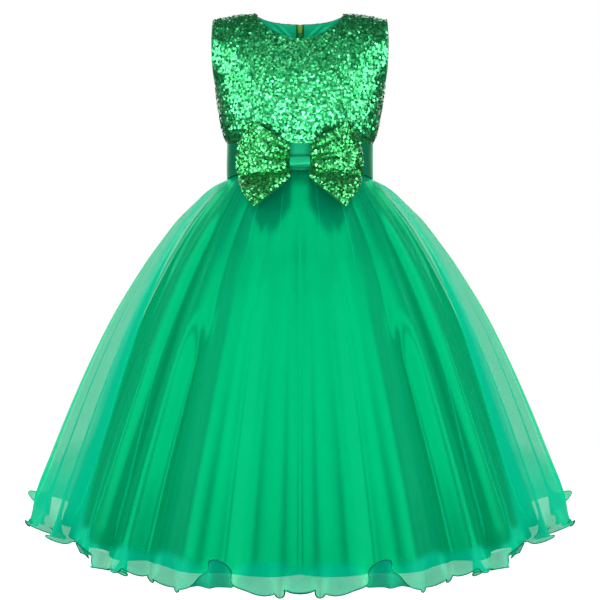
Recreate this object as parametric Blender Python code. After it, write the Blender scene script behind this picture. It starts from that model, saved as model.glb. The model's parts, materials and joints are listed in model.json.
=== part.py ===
"""A girl's sleeveless princess dress, filled out as worn, with no wearer.

Sequinned bodice with a lining and a centre-back zip, satin waistband with a sequinned bow,
satin underskirt, and a sheer organza overskirt with a ruffled, rolled hem.

Units are metres, +Z is up and the front faces -Y. The origin lies between the shoulders, level
with the points where the shoulder seams meet the neckline. Everything hangs below it.
"""

import math
from collections import namedtuple

import bmesh
import bpy
from mathutils import Matrix, Vector

FRONT, BACK = -1, 1
RIGHT, LEFT = 1, -1

SEAM_GAP = 0.0003
SHELL = 0.0015
LINING = 0.0010
LINING_GAP = 0.0009
SATIN = 0.0010
ORGANZA = 0.0010
BAND = 0.0015
BOW_CLOTH = 0.0015
NORMAL_STEP = 1e-4

# Bodice

BodiceSection = namedtuple("BodiceSection", "height half_width front_depth back_depth")
BODICE = (
    BodiceSection(-0.2120, 0.1035, 0.0800, 0.0770),
    BodiceSection(-0.2000, 0.1045, 0.0810, 0.0775),
    BodiceSection(-0.1930, 0.1068, 0.0822, 0.0780),
    BodiceSection(-0.1870, 0.1105, 0.0840, 0.0790),
    BodiceSection(-0.1800, 0.1132, 0.0858, 0.0800),
    BodiceSection(-0.1640, 0.1172, 0.0868, 0.0804),
    BodiceSection(-0.1400, 0.1212, 0.0868, 0.0798),
    BodiceSection(-0.1080, 0.1256, 0.0845, 0.0780),
    BodiceSection(-0.0850, 0.1276, 0.0790, 0.0758),
    BodiceSection(-0.0600, 0.1288, 0.0705, 0.0712),
    BodiceSection(-0.0300, 0.1294, 0.0615, 0.0620),
    BodiceSection(0.0000, 0.1296, 0.0560, 0.0520),
)
SECTION_POWER = 2.4
SHOULDER_X = 0.1300
SHOULDER_DROP = 0.0080
NECK_X = 0.0650
FRONT_NECK_DROP = 0.0520
BACK_NECK_DROP = 0.0015
NECK_POWER = 1.8
NECK_RISE = 0.0350
ROUND_FROM = {FRONT: -0.0650, BACK: -0.0600}
ROUND_POWER = 2.0
UNDERARM = -0.1100
ARMHOLE_SHARE = 0.56
ARMHOLE_TURN = 0.0450
ROW_EASE = 1.55
BODICE_ROWS = (0.0, 0.045, 0.17, 0.328, 0.345, 0.39, 0.46, 0.57, 0.69, 0.81, 0.91, 1.0)
BODICE_COLUMNS = (0.0, 0.14, 0.27, 0.37, 0.44, NECK_X / SHOULDER_X, 0.63, 0.79, 0.91, 0.975, 1.0)
TO_CENTRE = 1e-6
ZIP_TOP_GAP = 0.0011
ZIP_TOP_REACH = 0.0340
LINING_FIRST = 0.014

Crease = namedtuple("Crease", "x height run rise width depth")
CREASES = (
    Crease(0.119, -0.052, 0.018, 0.016, 0.0060, 0.0030),
    Crease(0.112, -0.073, 0.022, 0.010, 0.0070, -0.0022),
)
CREASE_FADE = 2.0
CREASE_EDGE = 0.33

# Waistband

BAND_TOP = -0.1980
BAND_TOP_FRONT = -0.2060
BAND_BOTTOM = -0.2475
BAND_BOTTOM_FRONT = -0.2430
BAND_LAP = 0.0040
BAND_INSIDE = 0.0014
BAND_CURVE = 4.0
BAND_ROWS = 2

# Skirts

SkirtSection = namedtuple("SkirtSection", "height half_width half_depth")
OVERSKIRT = (
    SkirtSection(-0.2480, 0.1095, 0.0860),
    SkirtSection(-0.2500, 0.1099, 0.0864),
    SkirtSection(-0.2560, 0.1215, 0.0945),
    SkirtSection(-0.2670, 0.1370, 0.1060),
    SkirtSection(-0.2860, 0.1590, 0.1230),
    SkirtSection(-0.3100, 0.1830, 0.1440),
    SkirtSection(-0.3400, 0.2070, 0.1690),
    SkirtSection(-0.3750, 0.2300, 0.1940),
    SkirtSection(-0.4450, 0.2680, 0.2390),
    SkirtSection(-0.5140, 0.2985, 0.2800),
    SkirtSection(-0.5810, 0.3255, 0.3160),
    SkirtSection(-0.6480, 0.3490, 0.3490),
    SkirtSection(-0.7050, 0.3665, 0.3740),
    SkirtSection(-0.7565, 0.3785, 0.3920),
)
UNDERSKIRT = (
    SkirtSection(-0.2480, 0.1075, 0.0835),
    SkirtSection(-0.2500, 0.1077, 0.0837),
    SkirtSection(-0.2560, 0.1115, 0.0870),
    SkirtSection(-0.2670, 0.1200, 0.0940),
    SkirtSection(-0.2860, 0.1350, 0.1065),
    SkirtSection(-0.3100, 0.1530, 0.1230),
    SkirtSection(-0.3400, 0.1720, 0.1420),
    SkirtSection(-0.3750, 0.1910, 0.1640),
    SkirtSection(-0.4450, 0.2240, 0.2040),
    SkirtSection(-0.5140, 0.2520, 0.2400),
    SkirtSection(-0.5810, 0.2770, 0.2720),
    SkirtSection(-0.6480, 0.3000, 0.3010),
    SkirtSection(-0.7410, 0.3280, 0.3350),
)
UNDERSKIRT_ROWS = (-0.2480, -0.2580, -0.2800, -0.3200, -0.4100, -0.5600, -0.7410)
OVERSKIRT_ROWS = (-0.2480, -0.2580, -0.2800, -0.3200, -0.4000, -0.5200, -0.6500, -0.7000)
RUFFLE_ROWS = (-0.7225, -0.7410, -0.7565)

# A fold runs from the waist to the hem. Its crest lies at an angle from the front centre, its
# rise is how far it stands out at the hem, and its lean tips the crest sideways.
Fold = namedtuple("Fold", "angle rise lean")
OVERSKIRT_FRONT_FOLDS = (
    Fold(7.5, 0.016, 0.3),
    Fold(19.0, 0.021, -0.5),
    Fold(30.0, 0.013, 0.7),
    Fold(38.0, 0.017, 0.5),
    Fold(51.5, -0.026, 0.0),
    Fold(66.0, -0.018, 0.0),
    Fold(81.0, 0.018, -0.3),
)
OVERSKIRT_BACK_FOLDS = (
    Fold(100.0, 0.024, 0.4),
    Fold(117.0, 0.018, -0.5),
    Fold(133.5, 0.024, 0.6),
    Fold(151.0, 0.019, -0.4),
    Fold(169.5, 0.018, 0.3),
)
UNDERSKIRT_FRONT_FOLDS = (
    Fold(7.5, 0.014, 0.1),
    Fold(20.0, 0.018, -0.2),
    Fold(33.5, 0.018, 0.3),
    Fold(46.5, 0.010, 0.2),
    Fold(61.0, 0.008, -0.2),
    Fold(79.0, 0.015, 0.2),
)
UNDERSKIRT_BACK_FOLDS = (
    Fold(100.5, 0.017, 0.2),
    Fold(121.5, 0.018, -0.2),
    Fold(143.5, 0.017, 0.2),
    Fold(167.5, 0.015, -0.1),
)
WAIST_FOLD_SHARE = 0.035
FOLD_GROWTH = 0.85
FOLD_ROUNDNESS = 0.75
WAIST_RISE_REACH = 0.0600
UNDERSKIRT_STEPS = 5
OVERSKIRT_STEPS = 6
FOLDS_PER_METRE = 26.0

RUFFLE_TOP = OVERSKIRT_ROWS[-1]
RUFFLE_OUT = 0.0110
RUFFLE_ALONG = 0.0060
RUFFLE_LIFT = 0.0090
RUFFLES_PER_FOLD = 1.5
RUFFLE_WANDER = 0.05
RUFFLE_CURVE = 1.6
RUFFLE_UNEVEN = 0.35
RUFFLE_BEAT = 2.3

# A flip is a place where the hem sags and its edge then curls up and outwards.
Flip = namedtuple("Flip", "angle width out sag lift")
FLIPS = (
    Flip(0.0, 2.8, 0.018, 0.012, 0.005),
    Flip(14.0, 3.3, 0.020, 0.018, 0.037),
    Flip(36.0, 3.0, 0.006, 0.004, 0.014),
    Flip(62.0, 9.0, -0.006, 0.000, 0.014),
    Flip(75.5, 3.0, 0.012, 0.006, 0.016),
    Flip(101.0, 4.5, 0.032, 0.004, 0.018),
    Flip(143.0, 3.5, 0.016, 0.010, 0.028),
)

# Bow

KNOT_Z = -0.2340
KNOT_HALF_WIDTH = 0.01425
KNOT_HALF_HEIGHT = 0.0090
KNOT_HALF_DEPTH = 0.0100
KNOT_WALL = 0.0018
KNOT_POWER = 3.0
KNOT_SIDES = 24
WING_ROOT = 0.0012
WING_REACH = 0.0910
WING_TOP_ANGLE = 41.0
WING_LOW_ANGLE = -47.0
WING_CLEAR = 0.0013
WING_BURST = 0.0040
WING_PUFF = 0.0170
WING_PLUMP = 0.0125
WING_ROOT_DEPTH = 0.0036
WING_ROOT_HEIGHT = 0.0056
WING_FOLD_POWER = 5.0
WING_EDGE_FALL = 0.35
WING_EDGE_POWER = 4
WING_STAND = 0.0125
WING_WRAP = 0.0180
WING_ROWS = (0.0, 0.165, 0.20, 0.30, 0.44, 0.60, 0.76, 0.90, 0.98)
WING_COLUMNS = 9
Pleat = namedtuple("Pleat", "place width depth")
PLEATS = (
    Pleat(0.24, 0.16, 0.0090),
    Pleat(-0.42, 0.15, 0.0080),
    Pleat(0.74, 0.12, 0.0040),
)

# Zip

CHAIN_HALF_WIDTH = 0.0036
CHAIN_THICK = 0.0014
CHAIN_TOP = -0.0145
CHAIN_BOTTOM = -0.3000
SLIDER_Z = -0.0080
SLIDER_SPAN = 0.0030
SLIDER_HEIGHT = 0.0110
SLIDER_TOP_HALF = 0.0037
SLIDER_LOW_HALF = 0.0027
SLIDER_THICK = 0.0030
BRIDGE_HALF = 0.0006
BRIDGE_HEIGHT = 0.0070
PLATE_HALF_WIDTH = 0.0022
PLATE_HEIGHT = 0.0090
PLATE_THICK = 0.0010
EAR_THICK = 0.0007
EAR_RADIUS = 0.0014
PIN_RADIUS = 0.0005
PIN_STAND = 0.0031
EYE_RADIUS = 0.0016
EYE_HOLE = 0.00085
EYE_HALF_WIDTH = 0.0011
ROUND_SIDES = 16
PIN_SIDES = 12
TAB_LENGTH = 0.0170
TAB_THICK = 0.0009
TAB_NECK_TOP = -0.0010
TAB_NECK_LOW = -0.0045
TabRow = namedtuple("TabRow", "reach half_width")
TAB_ROWS = (
    TabRow(0.0035, 0.0009),
    TabRow(0.0060, 0.0016),
    TabRow(0.0120, 0.0024),
    TabRow(0.0155, 0.0020),
    TabRow(TAB_LENGTH, 0.0011),
)
REST_STEP = math.radians(0.5)


def make_material(name, colour, roughness, metallic=0.0):
    """A plain Principled material."""
    material = bpy.data.materials.new(name)
    material.use_nodes = True
    shader = material.node_tree.nodes["Principled BSDF"]
    shader.inputs["Base Color"].default_value = (*colour, 1.0)
    shader.inputs["Roughness"].default_value = roughness
    shader.inputs["Metallic"].default_value = metallic
    return material


def clamp01(value):
    return max(0.0, min(1.0, value))


def smooth(value):
    """Eases from 0 to 1."""
    share = clamp01(value)
    return share * share * (3.0 - 2.0 * share)


def between(rows, column, height):
    """Reads one column of a table of sections at any height, on a smooth curve."""
    ordered = sorted(rows, key=lambda row: row.height)
    if height <= ordered[0].height:
        return getattr(ordered[0], column)
    if height >= ordered[-1].height:
        return getattr(ordered[-1], column)
    index = next(i for i in range(len(ordered) - 1) if height <= ordered[i + 1].height)
    low, high = ordered[index], ordered[index + 1]

    def slope(i):
        before, after = ordered[max(i - 1, 0)], ordered[min(i + 1, len(ordered) - 1)]
        rise = getattr(after, column) - getattr(before, column)
        return rise / (after.height - before.height)

    span = high.height - low.height
    t = (height - low.height) / span
    start, end = getattr(low, column), getattr(high, column)
    return (
        (2 * t**3 - 3 * t**2 + 1) * start
        + (t**3 - 2 * t**2 + t) * span * slope(index)
        + (3 * t**2 - 2 * t**3) * end
        + (t**3 - t**2) * span * slope(index + 1)
    )


def front_nearness(x, face):
    """1 at the front centre, falling to 0 at the sides and round the back."""
    if face == BACK:
        return 0.0
    return 1.0 - clamp01(abs(x) / BODICE[0].half_width) ** BAND_CURVE


def band_top(x, face):
    """Height of the waistband's upper edge, which dips at the front centre under the bow."""
    return BAND_TOP + (BAND_TOP_FRONT - BAND_TOP) * front_nearness(x, face)


def band_bottom(x, face):
    """Height of the waistband's lower edge, which rises a little at the front centre."""
    return BAND_BOTTOM + (BAND_BOTTOM_FRONT - BAND_BOTTOM) * front_nearness(x, face)


def top_line(x, face):
    """Height of the bodice's upper edge: the neckline inside, the shoulder seam outside.

    The cloth's thickness lies above it, so the neck points' outside is level with the origin.
    """
    x = abs(x)
    if x >= NECK_X:
        return -SHELL - SHOULDER_DROP * ((x - NECK_X) / (SHOULDER_X - NECK_X)) ** 2
    drop = FRONT_NECK_DROP if face == FRONT else BACK_NECK_DROP
    return -SHELL - drop * (1.0 - (x / NECK_X) ** NECK_POWER) ** (1.0 / NECK_POWER)


def ridge_height(x):
    """Height at which front and back would meet above a point of the bodice."""
    x = abs(x)
    if x >= NECK_X:
        return top_line(x, FRONT)
    return NECK_RISE * (1.0 - (x / NECK_X) ** 2) ** 2 - SHELL


def crease_offset(x, height):
    """How far a soft crease near the armhole lifts or sinks the front."""
    offset = 0.0
    for crease in CREASES:
        length = math.hypot(crease.run, crease.rise)
        dx, dz = abs(x) - crease.x, height - crease.height
        along = (dx * crease.run + dz * crease.rise) / length
        away = (dz * crease.run - dx * crease.rise) / length
        fade = math.exp(-CREASE_FADE * (along / length) ** 2 - (away / crease.width) ** 2)
        offset += crease.depth * fade
    return offset


def bodice_point(across, up, face, start=0.0):
    """A point on the inside of the bodice's outer cloth.

    across runs from 0 at the centre line to 1 at the side seam and armhole, with the sign of
    the side. up runs from 0 under the waistband to 1 at the top edge. start is how far from
    the centre line the first column stands, which leaves room for the zip.
    """
    side = LEFT if across < 0 else RIGHT
    turn = math.pi / 2 * abs(across)
    spread = math.sin(turn) ** (2.0 / SECTION_POWER)
    top = top_line(SHOULDER_X * spread, face)
    low = band_top(BODICE[0].half_width * spread, face) - BAND_LAP
    height = low + (top - low) * (1.0 - (1.0 - up) ** ROW_EASE)
    edge = between(BODICE, "half_width", height)
    climb = clamp01((height - UNDERARM) / ARMHOLE_TURN)
    cut = ARMHOLE_SHARE * math.sqrt(1.0 - (1.0 - climb) ** 2)
    full = edge / (1.0 - cut**SECTION_POWER) ** (1.0 / SECTION_POWER)
    x = start * (1.0 - spread) + edge * spread
    lift = (height - ROUND_FROM[face]) / (ridge_height(x) - ROUND_FROM[face])
    rounding = (1.0 - clamp01(lift) ** ROUND_POWER) ** (1.0 / ROUND_POWER)
    depth = between(BODICE, "front_depth" if face == FRONT else "back_depth", height)
    share = clamp01(1.0 - (edge * spread / full) ** SECTION_POWER) ** (1.0 / SECTION_POWER)
    y = depth * rounding * share
    if face == FRONT:
        y += crease_offset(x, height) * smooth(share / CREASE_EDGE)
    return Vector((side * x, face * (y + SEAM_GAP / 2), height))


def waist_point(across, up, face, start=0.0):
    """A point on the inside of the waistband, which laps over the bodice's lower edge."""
    side = LEFT if across < 0 else RIGHT
    turn = math.pi / 2 * abs(across)
    column = "front_depth" if face == FRONT else "back_depth"
    clear = SHELL + BAND_INSIDE
    half_width = between(BODICE, "half_width", BAND_TOP) + clear
    depth = between(BODICE, column, BAND_TOP) + clear
    x = start + (half_width - start) * math.sin(turn) ** (2.0 / SECTION_POWER)
    y = depth * math.cos(turn) ** (2.0 / SECTION_POWER)
    low = band_bottom(x, face)
    height = low + (band_top(x, face) - low) * up
    return Vector((side * x, face * (y + SEAM_GAP / 2), height))


def waist_rise(angle, drop):
    """How far the skirt's upper rows rise at the front, to follow the waistband."""
    face = FRONT if math.cos(angle) > 0.0 else BACK
    nearness = front_nearness(OVERSKIRT[0].half_width * math.sin(angle), face)
    return (BAND_BOTTOM_FRONT - BAND_BOTTOM) * nearness * (1.0 - smooth(drop / WAIST_RISE_REACH))


def fold_crests(front_folds, back_folds):
    """The folds of one half in order, with the angles of the valleys between them."""
    folds = (*front_folds, *back_folds)
    valleys = [0.0]
    for near, far in zip(folds, folds[1:]):
        valleys.append((near.angle + far.angle) / 2)
    valleys[len(front_folds)] = 90.0
    valleys.append(180.0)
    return folds, valleys


def fold_at(place, folds, valleys):
    """Angle, rise and lean at a place counted in folds from the front centre."""
    index = min(int(place), len(folds) - 1)
    share = place - index
    fold = folds[index]
    start, end = valleys[index], valleys[index + 1]
    middle = (fold.angle - start) / (end - start)
    angle = start + (end - start) * (share + (middle - 0.5) * math.sin(math.pi * share) ** 2)
    rise = fold.rise * math.sin(math.pi * share) ** (2.0 * FOLD_ROUNDNESS)
    return math.radians(angle), rise, fold.lean


def skirt_point(place, height, sections, folds, valleys, hem_height):
    """A point on the inside of a gathered skirt. place counts folds, with the side's sign."""
    side = LEFT if place < 0 else RIGHT
    angle, rise, lean = fold_at(abs(place), folds, valleys)
    top = sections[0].height
    drop = (top - height) / (top - hem_height)
    grown = WAIST_FOLD_SHARE + (1.0 - WAIST_FOLD_SHARE) * clamp01(drop) ** FOLD_GROWTH
    half_width = between(sections, "half_width", height)
    half_depth = between(sections, "half_depth", height)
    out = rise * grown
    angle += lean * out / half_width
    x = (half_width + out) * math.sin(angle)
    y = -(half_depth + out) * math.cos(angle)
    return Vector((side * x, y, height + waist_rise(angle, top - height)))


OVER_FOLDS, OVER_VALLEYS = fold_crests(OVERSKIRT_FRONT_FOLDS, OVERSKIRT_BACK_FOLDS)
UNDER_FOLDS, UNDER_VALLEYS = fold_crests(UNDERSKIRT_FRONT_FOLDS, UNDERSKIRT_BACK_FOLDS)


def overskirt_point(place, height):
    """The organza skirt, whose last few centimetres curl into a ruffle."""
    hem = OVERSKIRT[-1].height
    point = skirt_point(place, height, OVERSKIRT, OVER_FOLDS, OVER_VALLEYS, hem)
    curl = clamp01((RUFFLE_TOP - height) / (RUFFLE_TOP - hem)) ** RUFFLE_CURVE
    if curl == 0.0:
        return point
    count = abs(place)
    phase = 2 * math.pi * RUFFLES_PER_FOLD * (count + RUFFLE_WANDER * math.sin(2 * math.pi * count))
    size = 1.0 + RUFFLE_UNEVEN * math.cos(RUFFLE_BEAT * count)
    outward = Vector((point.x, point.y, 0.0)).normalized()
    along = Vector((-outward.y, outward.x, 0.0)) * (LEFT if place < 0 else RIGHT)
    out = RUFFLE_OUT * size * math.cos(phase) * curl
    lift = RUFFLE_LIFT * size * (0.5 + 0.5 * math.cos(phase)) * curl
    angle = math.degrees(math.atan2(abs(point.x), -point.y))
    for flip in FLIPS:
        share = math.exp(-(((angle - flip.angle) / flip.width) ** 2))
        out += flip.out * share * curl
        lift += share * (flip.lift * curl**3 - 4.0 * flip.sag * curl * (1.0 - curl))
    point += outward * out + along * (RUFFLE_ALONG * size * math.sin(phase) * curl)
    point.z += lift
    return point


def underskirt_point(place, height):
    """The satin skirt under the organza."""
    hem = UNDERSKIRT[-1].height
    return skirt_point(place, height, UNDERSKIRT, UNDER_FOLDS, UNDER_VALLEYS, hem)


def body_front(x, z):
    """How far the front of the dress reaches at a place that the bow lies over."""
    if z > BAND_BOTTOM:
        rows, column, power = BODICE, "front_depth", SECTION_POWER
    else:
        rows, column, power = OVERSKIRT, "half_depth", 2.0
    share = clamp01(abs(x) / between(rows, "half_width", z))
    return between(rows, column, z) * (1.0 - share**power) ** (1.0 / power)


def wing_point(out, across, side, layer):
    """A point on the middle of one bow wing's cloth.

    out runs from 0 at the root to 1 at the outer fold, across from -1 at the lower edge to 1
    at the upper edge. layer is FRONT for the front of the loop and BACK for its rear.
    """
    reach = WING_ROOT + (WING_REACH - WING_ROOT) * out
    middle = (WING_TOP_ANGLE + WING_LOW_ANGLE) / 2
    angle = math.radians(middle + (WING_TOP_ANGLE - WING_LOW_ANGLE) / 2 * across)
    freed = smooth((reach - KNOT_HALF_WIDTH - WING_CLEAR) / WING_BURST)
    puff = WING_PUFF * (1.0 - reach / WING_REACH)
    x = reach * (1.0 + (math.cos(angle) - 1.0) * freed)
    rise = math.sin(angle) * (reach + puff)
    z = KNOT_Z + WING_ROOT_HEIGHT * across * (1.0 - freed) + rise * freed
    flat = -knot_middle_y() - WING_ROOT_DEPTH - WING_WRAP * (x / WING_REACH) ** 2
    back = max(flat, body_front(x, z) + WING_STAND)
    loop = math.sqrt(1.0 - out**WING_FOLD_POWER)
    half = WING_ROOT_DEPTH + (WING_PLUMP - WING_ROOT_DEPTH) * freed
    depth = 2.0 * half * loop * (1.0 - WING_EDGE_FALL * across**WING_EDGE_POWER * freed)
    for pleat in PLEATS:
        crease = math.exp(-(((across - pleat.place) / pleat.width) ** 2))
        depth -= pleat.depth * crease * freed * loop * (1.0 - out)
    root = -knot_middle_y()
    rear_y = (root - WING_ROOT_DEPTH) * (1.0 - freed) + back * freed
    y = rear_y + (depth if layer == FRONT else 0.0)
    return Vector((side * x, -y, z))


def knot_middle_y():
    """Distance of the knot's middle from the body's middle, with its back on the waistband."""
    band = waist_point(0.0, 0.5, FRONT).y - BAND
    return band - SEAM_GAP - KNOT_HALF_DEPTH


def surface_normal(surface, s, t, s_range, t_range):
    """The surface's unit normal, from small steps that stay inside its edges."""
    step_s = (s_range[1] - s_range[0]) * NORMAL_STEP
    step_t = (t_range[1] - t_range[0]) * NORMAL_STEP
    across = surface(min(s + step_s, s_range[1]), t) - surface(max(s - step_s, s_range[0]), t)
    up = surface(s, min(t + step_t, t_range[1])) - surface(s, max(t - step_t, t_range[0]))
    return across.cross(up).normalized()


def cloth_wall(name, surface, rows, columns, inner, outer, material):
    """A closed wall of cloth between two offsets of one surface.

    rows lists the second parameter from one edge to the other. columns lists, for each row,
    the first parameter. A row may hold twice as many intervals as the one before it.
    """
    s_range = (columns[0][0], columns[0][-1])
    t_range = (min(rows), max(rows))
    mesh = bmesh.new()
    sheets = []
    for offset in (inner, outer):
        sheet = []
        for t, places in zip(rows, columns):
            line = []
            for s in places:
                normal = surface_normal(surface, s, t, s_range, t_range)
                line.append(mesh.verts.new(surface(s, t) + normal * offset))
            sheet.append(line)
        sheets.append(sheet)
    for sheet in sheets:
        for near, far, places in zip(sheet, sheet[1:], columns):
            for face in strip_faces(near, far, places):
                mesh.faces.new(face)
    rim_in, rim_out = edge_loop(sheets[0]), edge_loop(sheets[1])
    for i in range(len(rim_in)):
        j = (i + 1) % len(rim_in)
        mesh.faces.new((rim_out[i], rim_in[i], rim_in[j], rim_out[j]))
    bmesh.ops.recalc_face_normals(mesh, faces=mesh.faces)
    return finish_object(name, mesh, material)


def strip_faces(near, far, places):
    """Triangles between two rows of vertices, of equal counts or with one row split in two.

    Their diagonals are mirrored about the centre line, and the same on every layer.
    """
    faces = []
    for i in range(len(near) - 1):
        if len(far) > len(near):
            middle, last = far[2 * i + 1], far[2 * i + 2]
            faces.append((near[i], middle, far[2 * i]))
            faces.append((near[i], near[i + 1], middle))
            faces.append((near[i + 1], last, middle))
        elif places[i] + places[i + 1] > 0:
            faces.append((near[i], near[i + 1], far[i + 1]))
            faces.append((near[i], far[i + 1], far[i]))
        else:
            faces.append((near[i], near[i + 1], far[i]))
            faces.append((near[i + 1], far[i + 1], far[i]))
    return faces


def edge_loop(sheet):
    """The vertices round a sheet's edge, in order."""
    right = [line[-1] for line in sheet[1:-1]]
    left = [line[0] for line in reversed(sheet[1:-1])]
    return [*sheet[0], *right, *reversed(sheet[-1]), *left]


def finish_object(name, mesh, material, sharp_degrees=50.0):
    """Turns a bmesh into a named, smooth-shaded object and frees it."""
    data = bpy.data.meshes.new(name)
    mesh.to_mesh(data)
    mesh.free()
    data.shade_smooth()
    data.set_sharp_from_angle(angle=math.radians(sharp_degrees))
    data.materials.append(material)
    made = bpy.data.objects.new(name, data)
    bpy.context.scene.collection.objects.link(made)
    return made


def evenly(start, end, count):
    return [start + (end - start) * i / count for i in range(count + 1)]


def zip_gap(height):
    """Half the gap between the back panels: narrow, and a little open at the slider."""
    return SEAM_GAP + (ZIP_TOP_GAP - SEAM_GAP) * smooth(1.0 + height / ZIP_TOP_REACH)


def back_panel(across, up):
    """The back bodice, with its centre edge parted for the zip."""
    base = bodice_point(across, up, BACK)
    side = LEFT if across < 0 else RIGHT
    share = abs(base.x) / BODICE[0].half_width
    base.x += side * zip_gap(base.z) * (1.0 - clamp01(share))
    return base


def half_columns(side, first):
    """Columns of a panel from just beside the centre line to the side seam."""
    places = [side * across_at(share) for share in BODICE_COLUMNS]
    places[0] = side * first
    return sorted(places)


def whole_columns():
    """Columns of a panel from one side seam to the other."""
    half = [across_at(share) for share in BODICE_COLUMNS]
    return [-place for place in reversed(half[1:])] + half


def across_at(share):
    """The place across a panel whose distance from the centre is this share of its half width."""
    return math.asin(min(1.0, share ** (SECTION_POWER / 2.0))) / (math.pi / 2)


def build_bodice(sequin, lining):
    """Front and two backs in sequinned cloth, each with a lining made from its own points."""

    def front(across, up):
        return bodice_point(across, up, FRONT)

    near, far = LINING_GAP, LINING_GAP + LINING
    rows = BODICE_ROWS
    columns = [whole_columns()] * len(rows)
    cloth_wall("bodice_front", front, rows, columns, 0.0, SHELL, sequin)
    cloth_wall("lining_front", front, rows, columns, -far, -near, lining)
    for side, word in ((LEFT, "left"), (RIGHT, "right")):
        columns = [half_columns(side, TO_CENTRE)] * len(rows)
        cloth_wall(f"bodice_back_{word}", back_panel, rows, columns, 0.0, -SHELL, sequin)
        columns = [half_columns(side, LINING_FIRST)] * len(rows)
        cloth_wall(f"lining_back_{word}", back_panel, rows, columns, near, far, lining)


def build_waistband(satin):
    """A front band from side seam to side seam, and two backs that meet at the zip."""

    def front(across, up):
        return waist_point(across, up, FRONT)

    def back(across, up):
        return waist_point(across, up, BACK, start=SEAM_GAP)

    rows = evenly(0, 1, BAND_ROWS)
    whole = whole_columns()
    cloth_wall("waistband_front", front, rows, [whole] * len(rows), 0.0, BAND, satin)
    for side, word in ((LEFT, "left"), (RIGHT, "right")):
        half = half_columns(side, TO_CENTRE)
        cloth_wall(f"waistband_back_{word}", back, rows, [half] * len(rows), 0.0, -BAND, satin)


def seam_places(start, end, steps):
    """Columns of a skirt panel, counted in folds, held back from its seams by the seam gap."""
    places = evenly(start, end, steps * round(end - start))
    inset = SEAM_GAP / 2 * FOLDS_PER_METRE
    places[0] += inset
    places[-1] -= inset
    return places


def build_skirt(name, surface, rows, fine_rows, steps, folds, thick, material):
    """A gathered skirt in a front and two backs. fine_rows have twice the columns."""
    count, front_count = folds
    panels = {
        f"{name}_front": (-front_count, front_count),
        f"{name}_back_left": (-count, -front_count),
        f"{name}_back_right": (front_count, count),
    }
    for word, (start, end) in panels.items():
        coarse = seam_places(start, end, steps)
        fine = seam_places(start, end, 2 * steps)
        columns = [coarse] * len(rows) + [fine] * len(fine_rows)
        cloth_wall(word, surface, [*rows, *fine_rows], columns, 0.0, thick, material)


def build_skirts(satin, organza):
    """The satin underskirt and the organza overskirt."""
    under = (len(UNDER_FOLDS), len(UNDERSKIRT_FRONT_FOLDS))
    steps = UNDERSKIRT_STEPS
    build_skirt("underskirt", underskirt_point, UNDERSKIRT_ROWS, [], steps, under, SATIN, satin)
    over = (len(OVER_FOLDS), len(OVERSKIRT_FRONT_FOLDS))
    rows, fine_rows, steps = OVERSKIRT_ROWS, RUFFLE_ROWS, OVERSKIRT_STEPS
    build_skirt("overskirt", overskirt_point, rows, fine_rows, steps, over, ORGANZA, organza)


def build_wing(side, word, sequin):
    """One wing: a loop of cloth from the knot out to its fold and back."""
    loop = [(FRONT, out) for out in WING_ROWS] + [(BACK, out) for out in reversed(WING_ROWS)]

    def wing(across, place):
        index = min(int(place), len(loop) - 2)
        (layer, out), (next_layer, next_out) = loop[index], loop[index + 1]
        start = wing_point(out, across, side, layer)
        end = wing_point(next_out, across, side, next_layer)
        return start.lerp(end, place - index)

    rows = list(range(len(loop)))
    columns = [evenly(-1, 1, WING_COLUMNS)] * len(rows)
    half = BOW_CLOTH / 2
    cloth_wall(f"bow_wing_{word}", wing, rows, columns, -half, half, sequin)


def knot_ring(shrink, turn):
    """A point of the knot's rounded section, drawn in from its outside by shrink."""
    power = 2.0 / KNOT_POWER
    c, s = math.cos(turn), math.sin(turn)
    y = math.copysign(abs(c) ** power, c) * (KNOT_HALF_DEPTH - shrink)
    z = math.copysign(abs(s) ** power, s) * (KNOT_HALF_HEIGHT - shrink)
    return Vector((0.0, y, z))


def build_knot(satin):
    """The short tube of satin round the wings."""
    centre = Vector((0.0, knot_middle_y(), KNOT_Z))
    mesh = bmesh.new()
    turns = evenly(0, 2 * math.pi, KNOT_SIDES)[:-1]
    half = KNOT_HALF_WIDTH
    loops = []
    for x, shrink in ((-half, 0.0), (half, 0.0), (half, KNOT_WALL), (-half, KNOT_WALL)):
        across = Vector((x, 0.0, 0.0))
        loops.append([mesh.verts.new(centre + across + knot_ring(shrink, turn)) for turn in turns])
    for near, far in zip(loops, [*loops[1:], loops[0]]):
        for i in range(len(turns)):
            j = (i + 1) % len(turns)
            mesh.faces.new((near[i], near[j], far[j], far[i]))
    bmesh.ops.recalc_face_normals(mesh, faces=mesh.faces)
    finish_object("bow_knot", mesh, satin)


def build_bow(sequin, satin):
    """Two looped wings of sequinned cloth, pinched by a satin knot."""
    build_wing(LEFT, "left", sequin)
    build_wing(RIGHT, "right", sequin)
    build_knot(satin)


def zip_path(height):
    """The inside of the centre back at a height, from the neckline into the skirt."""
    bodice_low = BAND_TOP - BAND_LAP
    if height >= bodice_low:
        share = (height - bodice_low) / (top_line(0.0, BACK) - bodice_low)
        up = 1.0 - (1.0 - clamp01(share)) ** (1.0 / ROW_EASE)
        return back_panel(TO_CENTRE, up).y
    if height >= UNDERSKIRT[0].height:
        return min(back_panel(TO_CENTRE, 0.0).y, waist_point(TO_CENTRE, 0.0, BACK).y)
    return underskirt_point(len(UNDER_FOLDS), height).y


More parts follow.
